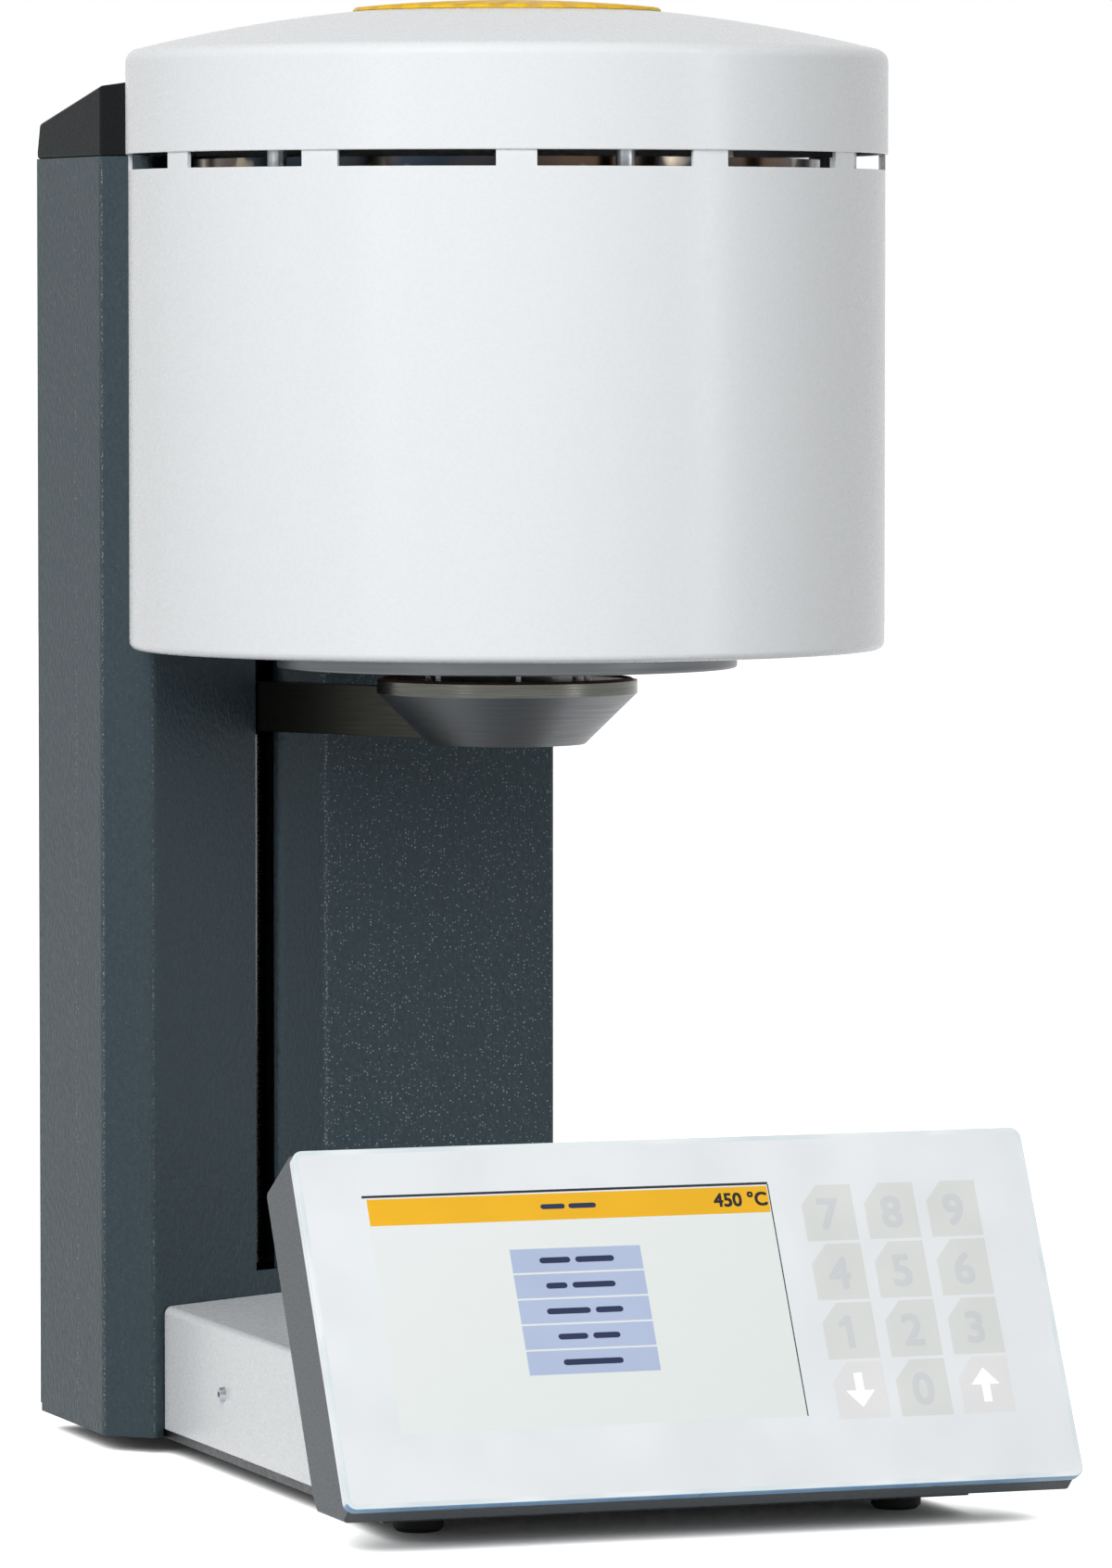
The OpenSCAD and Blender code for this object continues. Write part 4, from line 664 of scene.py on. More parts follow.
def tinted_shield():
    """Stainless sheet tinted by the heat: brown to steel blue in clouds, with paler patches."""
    finish, tree, shader, where = new_finish("stainless_sheet_heat_tinted", {"Metallic": 1.0})
    cloud = add(tree, "TexNoise", {"Vector": where, "Scale": 1 / (38 * MM), "Detail": 1.0})
    shade = worked(tree, shader, cloud, ("#5b4a3c", "#36404c"), gloss=(0.2, 0.32), relief=0.3 * MM,
                   span=(0.38, 0.6))
    patch = add(tree, "TexNoise", {"Vector": where, "Scale": 1 / (14 * MM), "Detail": 1.0})
    pale = add(tree, "MapRange", {"Value": patch, "From Min": 0.6, "From Max": 0.68, "To Max": 0.7})
    patched = add(tree, "Mix", {FACTOR: pale, FIRST: shade, SECOND: linear("#b9ad97")}, MIXED,
                  data_type="RGBA")
    fill(tree, shader, {"Base Color": patched})
    return finish


def polished_sheet():
    """Bright annealed stainless sheet: mirror-like with faint rolling marks."""
    return bare_metal("stainless_sheet_bright_annealed", ("#d5d7d8", "#c8cacb"), gloss=(0.12, 0.22),
                      streak=3 * MM, relief=0.01 * MM, stretch=(1, 1, 50))


def zinc_sheet():
    """Zinc-plated sheet steel: cool grey with a soft bloom."""
    return bare_metal("steel_zinc_plated", ("#b4b9bd", "#a2a8ad"), gloss=(0.3, 0.42), streak=4 * MM,
                      relief=0.008 * MM)


def ground_steel():
    """Ground and hardened steel rod under a film of grease: mid grey, with fine rings."""
    return bare_metal("steel_ground_rod", ("#95979a", "#87898c"), gloss=(0.2, 0.3), streak=0.5 * MM,
                      relief=0.004 * MM, stretch=(50, 1, 1))


def black_steel():
    """Steel with a black oxide film: dark and slightly oily."""
    return bare_metal("steel_black_oxide", ("#35383a", "#2b2d2f"), gloss=(0.36, 0.48), streak=1.5 * MM,
                      relief=0.01 * MM)


def machined_aluminium():
    """Milled aluminium, left natural: bright with the cutter's fine lines."""
    return bare_metal("aluminium_milled", ("#c3c6c8", "#b2b6b9"), gloss=(0.26, 0.38), streak=0.6 * MM,
                      relief=0.008 * MM, stretch=(50, 1, 1))


def brass():
    """Turned brass: warm and bright, with fine rings."""
    return bare_metal("brass_turned", ("#cfae62", "#bd9b50"), gloss=(0.18, 0.3), streak=0.5 * MM,
                      relief=0.006 * MM, stretch=(50, 1, 1))


def heating_alloy():
    """Iron-chromium-aluminium heating wire with its grey oxide skin: dull and warm grey."""
    return bare_metal("heating_wire_oxidised", ("#8b7d70", "#6f655c"), gloss=(0.5, 0.6), streak=1 * MM,
                      relief=0.03 * MM)


def dry_surface(name, shades, gloss, grain, relief, gleam):
    """Elastomer or mineral: no metal, a fine bloom or grain, and little gleam."""
    finish, tree, shader, where = new_finish(name, {"Specular IOR Level": gleam})
    grains = add(tree, "TexNoise", {"Vector": where, "Scale": 1 / grain, "Detail": 3.0})
    worked(tree, shader, grains, shades, gloss, relief)
    return finish


def nitrile_rubber():
    """Black nitrile rubber of the feet: matt, with a fine grey bloom."""
    return dry_surface("nitrile_rubber_moulded", ("#1d1e1f", "#2c2d2e"), gloss=(0.65, 0.8), grain=1.2 * MM,
                       relief=0.04 * MM, gleam=0.3)


def clear_silicone():
    """Extruded silicone hose: milky and smooth."""
    return dry_surface("silicone_extruded_milky", ("#cfd4d6", "#c0c6c9"), gloss=(0.4, 0.5), grain=2 * MM,
                       relief=0.02 * MM, gleam=0.5)


def red_silicone():
    """Moulded heat-proof silicone of the table's seal: dull red-brown, scorched darker."""
    return dry_surface("silicone_moulded_red_brown", ("#5e352b", "#3c241e"), gloss=(0.5, 0.65), grain=1 * MM,
                       relief=0.03 * MM, gleam=0.3)


def ceramic_fibre():
    """Vacuum-formed ceramic fibre board: soft, off-white and slightly fluffy."""
    return dry_surface("ceramic_fibre_board", ("#f0ece2", "#dcd3c0"), gloss=(0.85, 0.95), grain=1.2 * MM,
                       relief=0.2 * MM, gleam=0.2)


def steatite():
    """Pressed steatite ceramic of the terminals: cream with a low glaze."""
    return dry_surface("steatite_pressed_glazed", ("#e9e1cf", "#ddd3bd"), gloss=(0.35, 0.5), grain=1.5 * MM,
                       relief=0.03 * MM, gleam=0.5)


def winding_tape():
    """Polyester tape wound over the transformer: blue, lapped and slightly glossy."""
    finish, tree, shader, where = new_finish("polyester_tape_wound", {"Coat Weight": 0.3})
    core = sum(BOX["transformer"], Vector()) / 2
    centred = add(tree, "Mapping", {"Vector": where, "Location": (-core.x, -core.y, 0)})
    parts = add(tree, "SeparateXYZ", {"Vector": centred}).node.outputs
    bearing = add(tree, "Math", {0: parts["Y"], 1: parts["X"]}, operation="ARCTAN2")
    # 48 laps of tape go round the core
    turns = add(tree, "Math", {0: bearing, 1: 48.0}, operation="MULTIPLY")
    laps = add(tree, "Math", {0: turns}, operation="SINE")
    worked(tree, shader, laps, ("#346a90", "#4783a9"), gloss=(0.3, 0.4), relief=0.1 * MM, span=(-1.0, 1.0))
    return finish


def solder_mask():
    """Circuit board: glossy green solder mask over copper tracks about 1 mm wide."""
    finish, tree, shader, where = new_finish("solder_mask_green", {"Coat Weight": 0.4})
    tracks = add(tree, "TexVoronoi", {"Vector": where, "Scale": 1 / (5 * MM), "Randomness": 0.6},
                 distance="MANHATTAN")
    worked(tree, shader, tracks, ("#1e6b43", "#2c8052"), gloss=(0.28, 0.34), relief=0.03 * MM,
           span=(0.42, 0.5))
    return finish


def glass_sleeve():
    """Braided glass-fibre sleeve of the heater leads: cream, matt, woven at a slant."""
    finish, tree, shader, where = new_finish("glass_fibre_braided", {})
    weave = add(tree, "TexWave", {"Vector": where, "Scale": 1 / (3 * MM), "Distortion": 2.0}, "Fac",
                bands_direction="DIAGONAL")
    worked(tree, shader, weave, ("#d4cfc1", "#b3ac9a"), gloss=(0.7, 0.8), relief=0.15 * MM, span=(0.0, 1.0))
    return finish


def fused_quartz():
    """Fused quartz tube: clear, with a faint milky bloom from firing."""
    finish, tree, shader, where = new_finish("quartz_fused", {
        "Base Color": linear("#eaf2f4"), "IOR": 1.46, "Transmission Weight": 0.85})
    bloom = add(tree, "TexNoise", {"Vector": where, "Scale": 1 / (8 * MM)})
    rough = add(tree, "MapRange", {"Value": bloom, "From Min": 0.3, "From Max": 0.7, "To Min": 0.05,
                                   "To Max": 0.25})
    fill(tree, shader, {"Roughness": rough})
    return finish


def behind_glass(name, shade, other, glow=0.0):
    """Ink printed on the back of float glass: an even colour under a smooth clear face."""
    finish, tree, shader, where = new_finish(name, {
        "Specular IOR Level": 0.15, "Coat Weight": 0.5, "Coat Roughness": 0.04, "Coat IOR": 1.52,
        "Emission Color": WHITE, "Emission Strength": glow})
    cloud = add(tree, "TexNoise", {"Vector": where, "Scale": 1 / (30 * MM), "Detail": 1.0})
    worked(tree, shader, cloud, (shade, other), gloss=(0.55, 0.65), relief=0.01 * MM)
    return finish


def screen_picture():
    """Lit screen behind the glass: near white, a little greener towards its lower right."""
    panel = bpy.context.scene.furnace_panel
    finish, tree, shader, where = new_finish("screen_lit_behind_glass", {
        "Specular IOR Level": 0.15, "Coat Weight": 0.5, "Coat Roughness": 0.04, "Coat IOR": 1.52})
    parts = add(tree, "SeparateXYZ", {"Vector": where}).node.outputs
    along = add(tree, "MapRange", {"Value": parts["X"], "From Min": panel.screen_x,
                                   "From Max": panel.screen_x + panel.screen_w, "To Max": 0.5})
    up = add(tree, "MapRange", {"Value": parts["Z"], "From Min": panel.screen_low,
                                "From Max": panel.screen_low + panel.screen_h, "To Min": 0.5, "To Max": 0.0})
    corner = add(tree, "Math", {0: along, 1: up}, operation="ADD")
    worked(tree, shader, corner, (chosen("screen"), chosen("screen_low")), gloss=(0.55, 0.65),
           relief=0.01 * MM, span=(0.0, 1.0))
    return finish


def arrow_window():
    """Clear arrow windows in the print, lit from behind: the brightest marks on the glass."""
    return behind_glass("print_window_lit", WHITE, "#f6f8f9", glow=0.25)


def glass_margin():
    """Clear margin and polished edge of the float glass: the glass's blue-green cast, painted near white as
    the light that its edge gathers.
    """
    finish, tree, shader, where = new_finish("float_glass_polished_edge", {
        "IOR": 1.52, "Coat Weight": 0.5, "Coat Roughness": 0.03})
    cast = add(tree, "TexNoise", {"Vector": where, "Scale": 1 / (20 * MM), "Detail": 1.0})
    worked(tree, shader, cast, (chosen("lit_glass_edge"), "#dfeaee"), gloss=(0.06, 0.12), relief=0.005 * MM)
    return finish


def glass_lower_edge():
    """Ground lower edge of the float glass, where light gathers: clear blue."""
    finish, tree, shader, where = new_finish("float_glass_ground_edge", {"IOR": 1.52})
    cast = add(tree, "TexNoise", {"Vector": where, "Scale": 1 / (12 * MM), "Detail": 1.0})
    worked(tree, shader, cast, ("#5fa0d4", "#7fb4dc"), gloss=(0.25, 0.35), relief=0.01 * MM)
    return finish


FINISHES = {
    "white_paint": white_powder_coat, "anthracite_paint": anthracite_powder_coat,
    "black_plastic": black_abs, "yellow_plastic": yellow_abs, "satin_steel": turned_stainless,
    "polished_steel": polished_sheet, "zinc_steel": zinc_sheet, "ground_steel": ground_steel,
    "black_steel": black_steel, "machined_aluminium": machined_aluminium, "brass": brass,
    "rubber": nitrile_rubber, "silicone": clear_silicone, "red_silicone": red_silicone,
    "ceramic_fibre": ceramic_fibre, "ceramic": steatite, "winding_tape": winding_tape,
    "circuit_board": solder_mask, "lead_sleeve": glass_sleeve, "heating_wire": heating_alloy,
    "quartz": fused_quartz, "panel_glass": glass_margin, "lower_edge": glass_lower_edge,
    "casing": casing_powder_coat, "rim": brushed_rim, "arm": brushed_arm,
    "tinted_shield": tinted_shield, "screen": screen_picture, "arrow": arrow_window,
}
made_finishes = {}


def finish_of(key):
    """The finish of a slot or a special surface, made once."""
    if key not in made_finishes:
        made_finishes[key] = FINISHES[key]()
    return made_finishes[key]


def printed(key):
    """A print colour behind the glass, made once."""
    name = "print_behind_glass_" + key
    if name not in made_finishes:
        shade, deeper = chosen(key), 0.94
        made_finishes[name] = behind_glass(name, shade, [*(part * deeper for part in shade[:3]), 1.0])
    return made_finishes[name]


# Column plan


def column_corners(column, grow):
    """Corners of the column's plan from the back left round the front, grown by grow."""
    sine, cosine = math.sin(column.slant), math.cos(column.slant)
    start = column.left - column.corner_cut
    total = (column.slant_distance - start * sine) / cosine - start - grow * math.sqrt(2)
    left, right = column.left + grow, column.right + grow
    front, back, distance = column.front - grow, column.back, column.slant_distance - grow
    corner = (total - distance / cosine) / (1 + sine / cosine)
    bend = (front * cosine - distance) / sine
    return [(-left, back), (-left, total + left), (corner, total - corner), (bend, front),
            (right, front), (right, back)]


def column_planes(column, grow):
    """Point and outward normal of each face of the column's plan."""
    corners = [Vector((x, y, 0)) for x, y in column_corners(column, grow)]
    for first, second in zip(corners, corners[1:]):
        along = (second - first).normalized()
        yield first, Vector((along.y, -along.x, 0))


def in_column(column, grow, point):
    """Whether a point lies inside the column's plan."""
    sides = [(point - start).dot(normal) < 0 for start, normal in column_planes(column, grow)]
    left, cut, slanting, front, right = sides
    return left and cut and (slanting or front) and right


# Head


# Mesh steps round the head, which put a mesh line on both ends of every vent window
HEAD_STEPS = 240


def lid_centres(head):
    """Radius and height of the shoulder's centre, and height of the dome's centre."""
    radius, height = head.lid_radius - head.shoulder, head.seam + head.band
    return radius, height, height - math.sqrt((head.dome - head.shoulder) ** 2 - radius ** 2)


class FURNACE_OT_jacket(Operator):
    """Round sheet-metal jacket with its rolled lower edge, vent windows and the opening for the column"""
    bl_idname = "furnace.jacket"
    bl_label = "Head jacket"

    def execute(self, context):
        head, column = context.scene.furnace_head, context.scene.furnace_column
        ring_gap = 0.6 * MM
        vent_low = head.seam - head.vent_height
        profile = [(head.ring_radius + ring_gap, head.low)]
        profile += arc(head.radius - head.edge, head.low + head.edge, head.edge, -90, 0, steps=6)
        profile += [(head.radius, vent_low), (head.radius, head.seam)]
        bm = turned(profile, HEAD_STEPS, closed=False)
        pitch = 2 * math.pi / head.vents
        first = head.vent_turn - math.pi / 2

        def in_window(point):
            off = (math.atan2(point.y, point.x) - first + pitch / 2) % pitch - pitch / 2
            return point.z > vent_low and abs(off) < head.vent_angle / 2

        cut_away(bm, [face for face in bm.faces if in_window(middle(face))])
        for start, normal in column_planes(column, column.play):
            split(bm, [face for face in bm.faces if middle(face).y > 0], start, normal)
        cut_away(bm, [face for face in bm.faces if in_column(column, column.play, middle(face))])
        faced_out(bm, Vector((0, 0, head.seam)))
        piece = new_piece("head_jacket", bm, MACHINE, "head_shell")
        sheet_metal(piece, head.sheet)
        broken_edges(piece, width=0.3 * MM)
        return {"FINISHED"}


class FURNACE_OT_lid(Operator):
    """Domed lid with its upright band and rounded shoulder"""
    bl_idname = "furnace.lid"
    bl_label = "Lid"

    def execute(self, context):
        head = context.scene.furnace_head
        corner_r, corner_z, centre = lid_centres(head)
        meet = math.degrees(math.acos(corner_r / (head.dome - head.shoulder)))

        def skin(inward):
            radius = head.lid_radius - inward
            side = [(radius, head.seam), (radius, head.seam + head.band / 2)]
            side += arc(corner_r, corner_z, head.shoulder - inward, 0, meet, steps=10)
            return side + arc(0, centre, head.dome - inward, meet, 90, steps=18)[1:]

        bm = turned(skin(0) + skin(head.lid_sheet)[::-1], HEAD_STEPS)
        broken_edges(new_piece("lid_dome", bm, MACHINE, "head_lid"), width=0.5 * MM, segments=3, least=50)
        return {"FINISHED"}


class FURNACE_OT_disc(Operator):
    """Yellow moulded disc with curved ribs on the dome"""
    bl_idname = "furnace.disc"
    bl_label = "Ribbed disc"

    def execute(self, context):
        head = context.scene.furnace_head
        centre = lid_centres(head)[2]
        rim, seat, plain_middle = 0.8 * MM, 0.15 * MM, 4 * MM
        steps_per_rib = 12

        def over_dome(rise, radius):
            return centre + math.sqrt((head.dome + rise) ** 2 - radius ** 2)

        def cap(rise, steps, reach):
            return [(reach * k / steps, over_dome(rise, reach * k / steps)) for k in range(steps, -1, -1)]

        top = cap(head.disc_rise, steps=30, reach=head.disc_radius - rim)
        foot = cap(seat, steps=4, reach=head.disc_radius)
        bm = turned([(head.disc_radius, top[0][1] - rim)] + top + foot[::-1], steps_per_rib * head.ribs)
        # Ribs curve outwards like the blades of a fan and fade towards the middle and the rim
        fade_in, full, fade_out, gone = 0.25, 0.6, 0.96, 1.02
        flank = 0.6
        for vert in bm.verts:
            r = math.hypot(vert.co.x, vert.co.y)
            if r > plain_middle and vert.co.z > over_dome(0.7 * head.disc_rise, r):
                share = r / head.disc_radius
                phase = math.atan2(vert.co.y, vert.co.x) * head.ribs + share * head.rib_lean
                groove = max(0.0, math.sin(phase)) ** flank
                fade = min(1.0, max(0.0, (share - fade_in) / (full - fade_in)))
                fade *= min(1.0, (gone - share) / (gone - fade_out))
                vert.co.z -= head.rib_depth * groove * fade
        new_piece("ribbed_disc", bm, MACHINE, "lid_disc", sharp=80)
        return {"FINISHED"}


class FURNACE_OT_ring(Operator):
    """Turned steel ring round the chamber's mouth"""
    bl_idname = "furnace.ring"
    bl_label = "Mouth ring"

    def execute(self, context):
        head = context.scene.furnace_head
        chamfer = 1.5 * MM
        bm = turned([(head.mouth, head.ring_low + chamfer), (head.mouth + chamfer, head.ring_low),
                     (head.ring_radius, head.ring_low), (head.ring_radius, head.ring_high),
                     (head.mouth, head.ring_high)], TURNED_STEPS)
        broken_edges(new_piece("mouth_ring", bm, MACHINE, "chamber_flange"), width=0.9 * MM, segments=3)
        return {"FINISHED"}


# Column


class FURNACE_OT_column(Operator):
    """Folded sheet-metal column with the lift's slot and its returned edge"""
    bl_idname = "furnace.column"
    bl_label = "Column"

    def execute(self, context):
        head, column = context.scene.furnace_head, context.scene.furnace_column
        bm = bmesh.new()
        corners = [bm.verts.new((x, y, 0)) for x, y in column_corners(column, 0)]
        edges = [bm.edges.new(pair) for pair in zip(corners, corners[1:])]
        walls = bmesh.ops.extrude_edge_only(bm, edges=edges)
        bmesh.ops.translate(bm, vec=(0, 0, head.seam), verts=made_verts(walls))
        inside = Vector((0, column.back, head.seam / 2))
        faced_out(bm, inside)
        turn_back = Matrix.Rotation(column.slant, 4, "Z")
        self.cut_slot(bm, column, turn_back @ FORWARD, turn_back @ Vector((1, 0, 0)))
        faced_out(bm, inside)
        rounded(bm, creases(bm, 20), column.bend, segments=4)
        piece = new_piece("column_body", bm, MACHINE, "column_shell")
        sheet_metal(piece, column.sheet)
        self.cut_passages(piece, column)
        broken_edges(piece, width=0.15 * MM)
        return {"FINISHED"}

    def cut_slot(self, bm, column, outward, across):
        """Open the slot in the slanting face, raise the foot and fold the slot's right edge inwards."""
        half = column.slot / 2
        for side in (-half, half):
            split(bm, facing(bm, outward), across * side, across)
        for height in (column.slot_low, column.slot_high):
            split(bm, facing(bm, outward), (0, 0, height), (0, 0, 1))
        cut_away(bm, [face for face in facing(bm, outward) if abs(middle(face).dot(across)) < half
                      and column.slot_low < middle(face).z < column.slot_high])
        # The foot stands over the bottom plate, apart from the front left corner
        split(bm, facing(bm, outward), (-column.foot_left, 0, 0), (1, 0, 0))
        split(bm, bm.faces, (0, 0, column.foot_gap), (0, 0, 1))
        cut_away(bm, [face for face in bm.faces if middle(face).z < column.foot_gap
                      and middle(face).x > -column.foot_left])

        def on_edge(point):
            level = column.slot_low - NEAR < point.z < column.slot_high + NEAR
            return level and abs(point.dot(across) - half) < NEAR

        edge = [e for e in bm.edges if e.is_boundary and all(on_edge(vert.co) for vert in e.verts)]
        folded = bmesh.ops.extrude_edge_only(bm, edges=edge)
        bmesh.ops.translate(bm, vec=-outward * column.slot_return, verts=made_verts(folded))

    def cut_passages(self, piece, column):
        """Cut the ways of the heater leads and the vacuum hose through the front face."""
        through, lead_radius, hose_way = 5 * MM, 1.8 * MM, 6 * MM
        left, right, margin = 16 * MM, 44 * MM, 8 * MM
        before, behind = column.front - through, column.front + through
        lead_z = height_of("heater_leads", HIGH) - lead_radius
        hose = sum(BOX["vacuum_hose"], Vector()) / 2 - Vector((0, HEAD_Y, FOOT_H))
        leads = block((left, before, lead_z - margin), (right, behind, lead_z + margin))
        carved(piece, MACHINE, leads, rod(hose_way, (hose.x, before, hose.z), (hose.x, behind, hose.z)))


class FURNACE_OT_column_ends(Operator):
    """Black wedge-shaped cap and the louvred back plate of the column"""
    bl_idname = "furnace.column_ends"
    bl_label = "Column cap and back"

    def execute(self, context):
        softened("column_cap", width=1.2 * MM, segments=3)
        softened("column_back", width=0.3 * MM)
        return {"FINISHED"}


class FURNACE_OT_shield(Operator):
    """Heat shield behind the vent windows, tinted by the heat"""
    bl_idname = "furnace.shield"
    bl_label = "Heat shield"

    def execute(self, context):
        softened("heat_shield", width=0.2 * MM, finish="tinted_shield")
        return {"FINISHED"}


# Base


def panel_back(panel, height):
    """Depth of the panel's back face at a height, from the head axis."""
    rise = math.sin(panel.tilt) * (height - panel.low_z)
    return -panel.low_y + (panel.depth + rise) / math.cos(panel.tilt)


class FURNACE_OT_tray(Operator):
    """White base tray with rolled edges, its front along the panel's back"""
    bl_idname = "furnace.tray"
    bl_label = "Base tray"

    def execute(self, context):
        base, panel = context.scene.furnace_base, context.scene.furnace_panel
        column = context.scene.furnace_column
        clear = 0.2 * MM / math.cos(panel.tilt)
        side = [(panel_back(panel, base.low) + clear, base.low), (base.back, base.low),
                (base.back, base.high), (panel_back(panel, base.high) + clear, base.high)]
        bm = prism([(-base.width / 2, y, z) for y, z in side], (base.width, 0, 0))
        top = [e for e in bm.edges if max(vert.co.z for vert in e.verts) > base.high - NEAR]
        rounded(bm, top, base.edge, segments=5)
        cut_away(bm, facing(bm, DOWN))
        piece = new_piece("base_tray", bm, MACHINE, "base_cover")
        sheet_metal(piece, base.sheet)
        # The cut round the column runs on past its open back
        beyond = 10 * MM
        corners = column_corners(column, column.play)
        plan = [(x, y + beyond if y > column.back - MM else y, -beyond) for x, y in corners]
        carved(piece, MACHINE, prism(plan, (0, 0, 100 * MM)))
        broken_edges(piece, width=0.25 * MM)
        return {"FINISHED"}


# Control panel


def panel_place(panel):
    """Frame of the glass: X across, Y into the panel, Z up the slope."""
    return (MACHINE @ Matrix.Translation((0, -panel.low_y, panel.low_z))
            @ Matrix.Rotation(-panel.tilt, 4, "X"))


class FURNACE_OT_casing(Operator):
    """Folded casing behind the glass"""
    bl_idname = "furnace.casing"
    bl_label = "Panel casing"

    def execute(self, context):
        panel = context.scene.furnace_panel
        half = panel.width / 2 - panel.inset
        front, back, top = panel.glass, panel.depth, panel.height
        # The chin slants back under the glass to a level underside, and a small crest stands over the glass
        chin_y, chin_z, foot_y, crest_y = 11 * MM, -0.7 * MM, 38 * MM, 9.5 * MM
        foot_z = chin_z + (foot_y - chin_y) * math.tan(panel.tilt)
        side = [(front, 1 * MM), (chin_y, chin_z), (foot_y, foot_z), (back, foot_z + 7 * MM),
                (back, top - 1.5 * MM), (back - 1.5 * MM, top), (crest_y, top + 2 * MM),
                (front, top - 0.5 * MM)]
        bm = prism([(-half, y, z) for y, z in side], (2 * half, 0, 0))
        behind = front + 0.5 * MM
        ends = [e for e in creases(bm, 60) if max(vert.co.y for vert in e.verts) > behind]
        rounded(bm, ends, 1.4 * MM, segments=4)
        cut_away(bm, facing(bm, FORWARD))
        place = panel_place(panel)
        piece = new_piece("panel_casing", bm, place, "panel_housing", [finish_of("casing")])
        sheet_metal(piece, 2.5 * MM)
        # Passage for the wires from the base
        wires_radius, wires_z, through = 9 * MM, 40 * MM, 4 * MM
        carved(piece, place, rod(wires_radius, (0, back - through, wires_z), (0, back + through, wires_z)))
        broken_edges(piece, width=0.8 * MM, segments=3, least=22)
        return {"FINISHED"}


def field(x, z, width, height):
    """Corners of an upright field."""
    return [(x, z), (x + width, z), (x + width, z + height), (x, z + height)]


PRINT, LOWER_EDGE = 1, 2


class FURNACE_OT_glass(Operator):
    """Float-glass front: rounded corners, polished edges, a clear margin round the white print"""
    bl_idname = "furnace.glass"
    bl_label = "Glass front"

    def execute(self, context):
        panel = context.scene.furnace_panel
        outline = field(-panel.width / 2, 0, panel.width, panel.height)
        bm = prism([(x, panel.glass, z) for x, z in outline], FORWARD * panel.glass)
        posts = [e for e in bm.edges if abs(e.verts[0].co.y - e.verts[1].co.y) > panel.glass / 2]
        rounded(bm, posts, panel.corner, segments=8, clamp=False)
        rounded(bm, creases(bm, 60), 0.5 * MM, segments=3, clamp=False)
        for face in facing(bm, DOWN, 0.3):
            if middle(face).z < panel.corner:
                face.material_index = LOWER_EDGE
        face = max(facing(bm, FORWARD), key=lambda flat: flat.calc_area())
        bmesh.ops.inset_region(bm, faces=[face], thickness=panel.margin, use_even_offset=True)
        face.material_index = PRINT
        flat_shaded(new_piece("glass_front", bm, panel_place(panel), "panel_glass", [
            finish_of("panel_glass"), printed("print_white"), finish_of("lower_edge")]))
        return {"FINISHED"}


# Thickness of one layer of print
LAYER = 0.04 * MM


def print_on_glass(bm, outline, layer):
    """Lay a thin flat field on the glass, layer steps over its face."""
    return add_prism(bm, [(x, -layer * LAYER, z) for x, z in outline], FORWARD * LAYER)


def printed_piece(name, bm, panel, *finishes):
    """Turn a bmesh with print into a piece on the glass."""
    return new_piece(name, bm, panel_place(panel), "panel_glass", finishes, stands_for_it=False)


def bar(x, z, width, height, steps=4):
    """Outline of a level mark with round ends."""
    r = height / 2
    return [(x + centre, z + r + rise) for along, first in ((width - r, -90), (r, 90))
            for centre, rise in arc(along, 0, r, first, first + 180, steps)]


def line_of_marks(x, z, widths, gap, height):
    """Plain marks side by side, as words stand in a line."""
    marks = []
    for width in widths:
        marks.append(bar(x, z, width * MM, height))
        x += width * MM + gap
    return marks


def lettering(bm, text, left, low, height, layer, centred=False):
    """Add bold raised numbers to a bmesh in the frame of the glass: copies set side by side."""
    curve = bpy.data.curves.new("lettering", "FONT")
    curve.body = text
    curve.size = 1.0
    curve.extrude = 0.001
    holder = bpy.data.objects.new("lettering", curve)
    bpy.context.scene.collection.objects.link(holder)
    mesh = bpy.data.meshes.new_from_object(holder)
    xs = [vert.co.x for vert in mesh.vertices]
    ys = [vert.co.y for vert in mesh.vertices]
    scale = height / (max(ys) - min(ys))
    shift = (min(xs) + max(xs)) / 2 if centred else min(xs)
    thin = LAYER / (2 * curve.extrude)
    upright = (Matrix.Rotation(math.pi / 2, 4, "X") @ Matrix.Diagonal((scale, scale, thin, 1))
               @ Matrix.Translation((-shift, -min(ys), 0)))
    bolder = height * 0.035
    # Each copy stands a hair before the last, so that no two faces share a plane
    hair = 0.1
    for k, (across, up) in enumerate(((-1, -1), (1, -1), (-1, 1), (1, 1))):
        out = (layer + 0.5 + hair * k) * LAYER
        copy = mesh.copy()
        copy.transform(Matrix.Translation((left + across * bolder, -out, low + up * bolder)) @ upright)
        bm.from_mesh(copy)
        bpy.data.meshes.remove(copy)
    bpy.data.objects.remove(holder)
    bpy.data.meshes.remove(mesh)


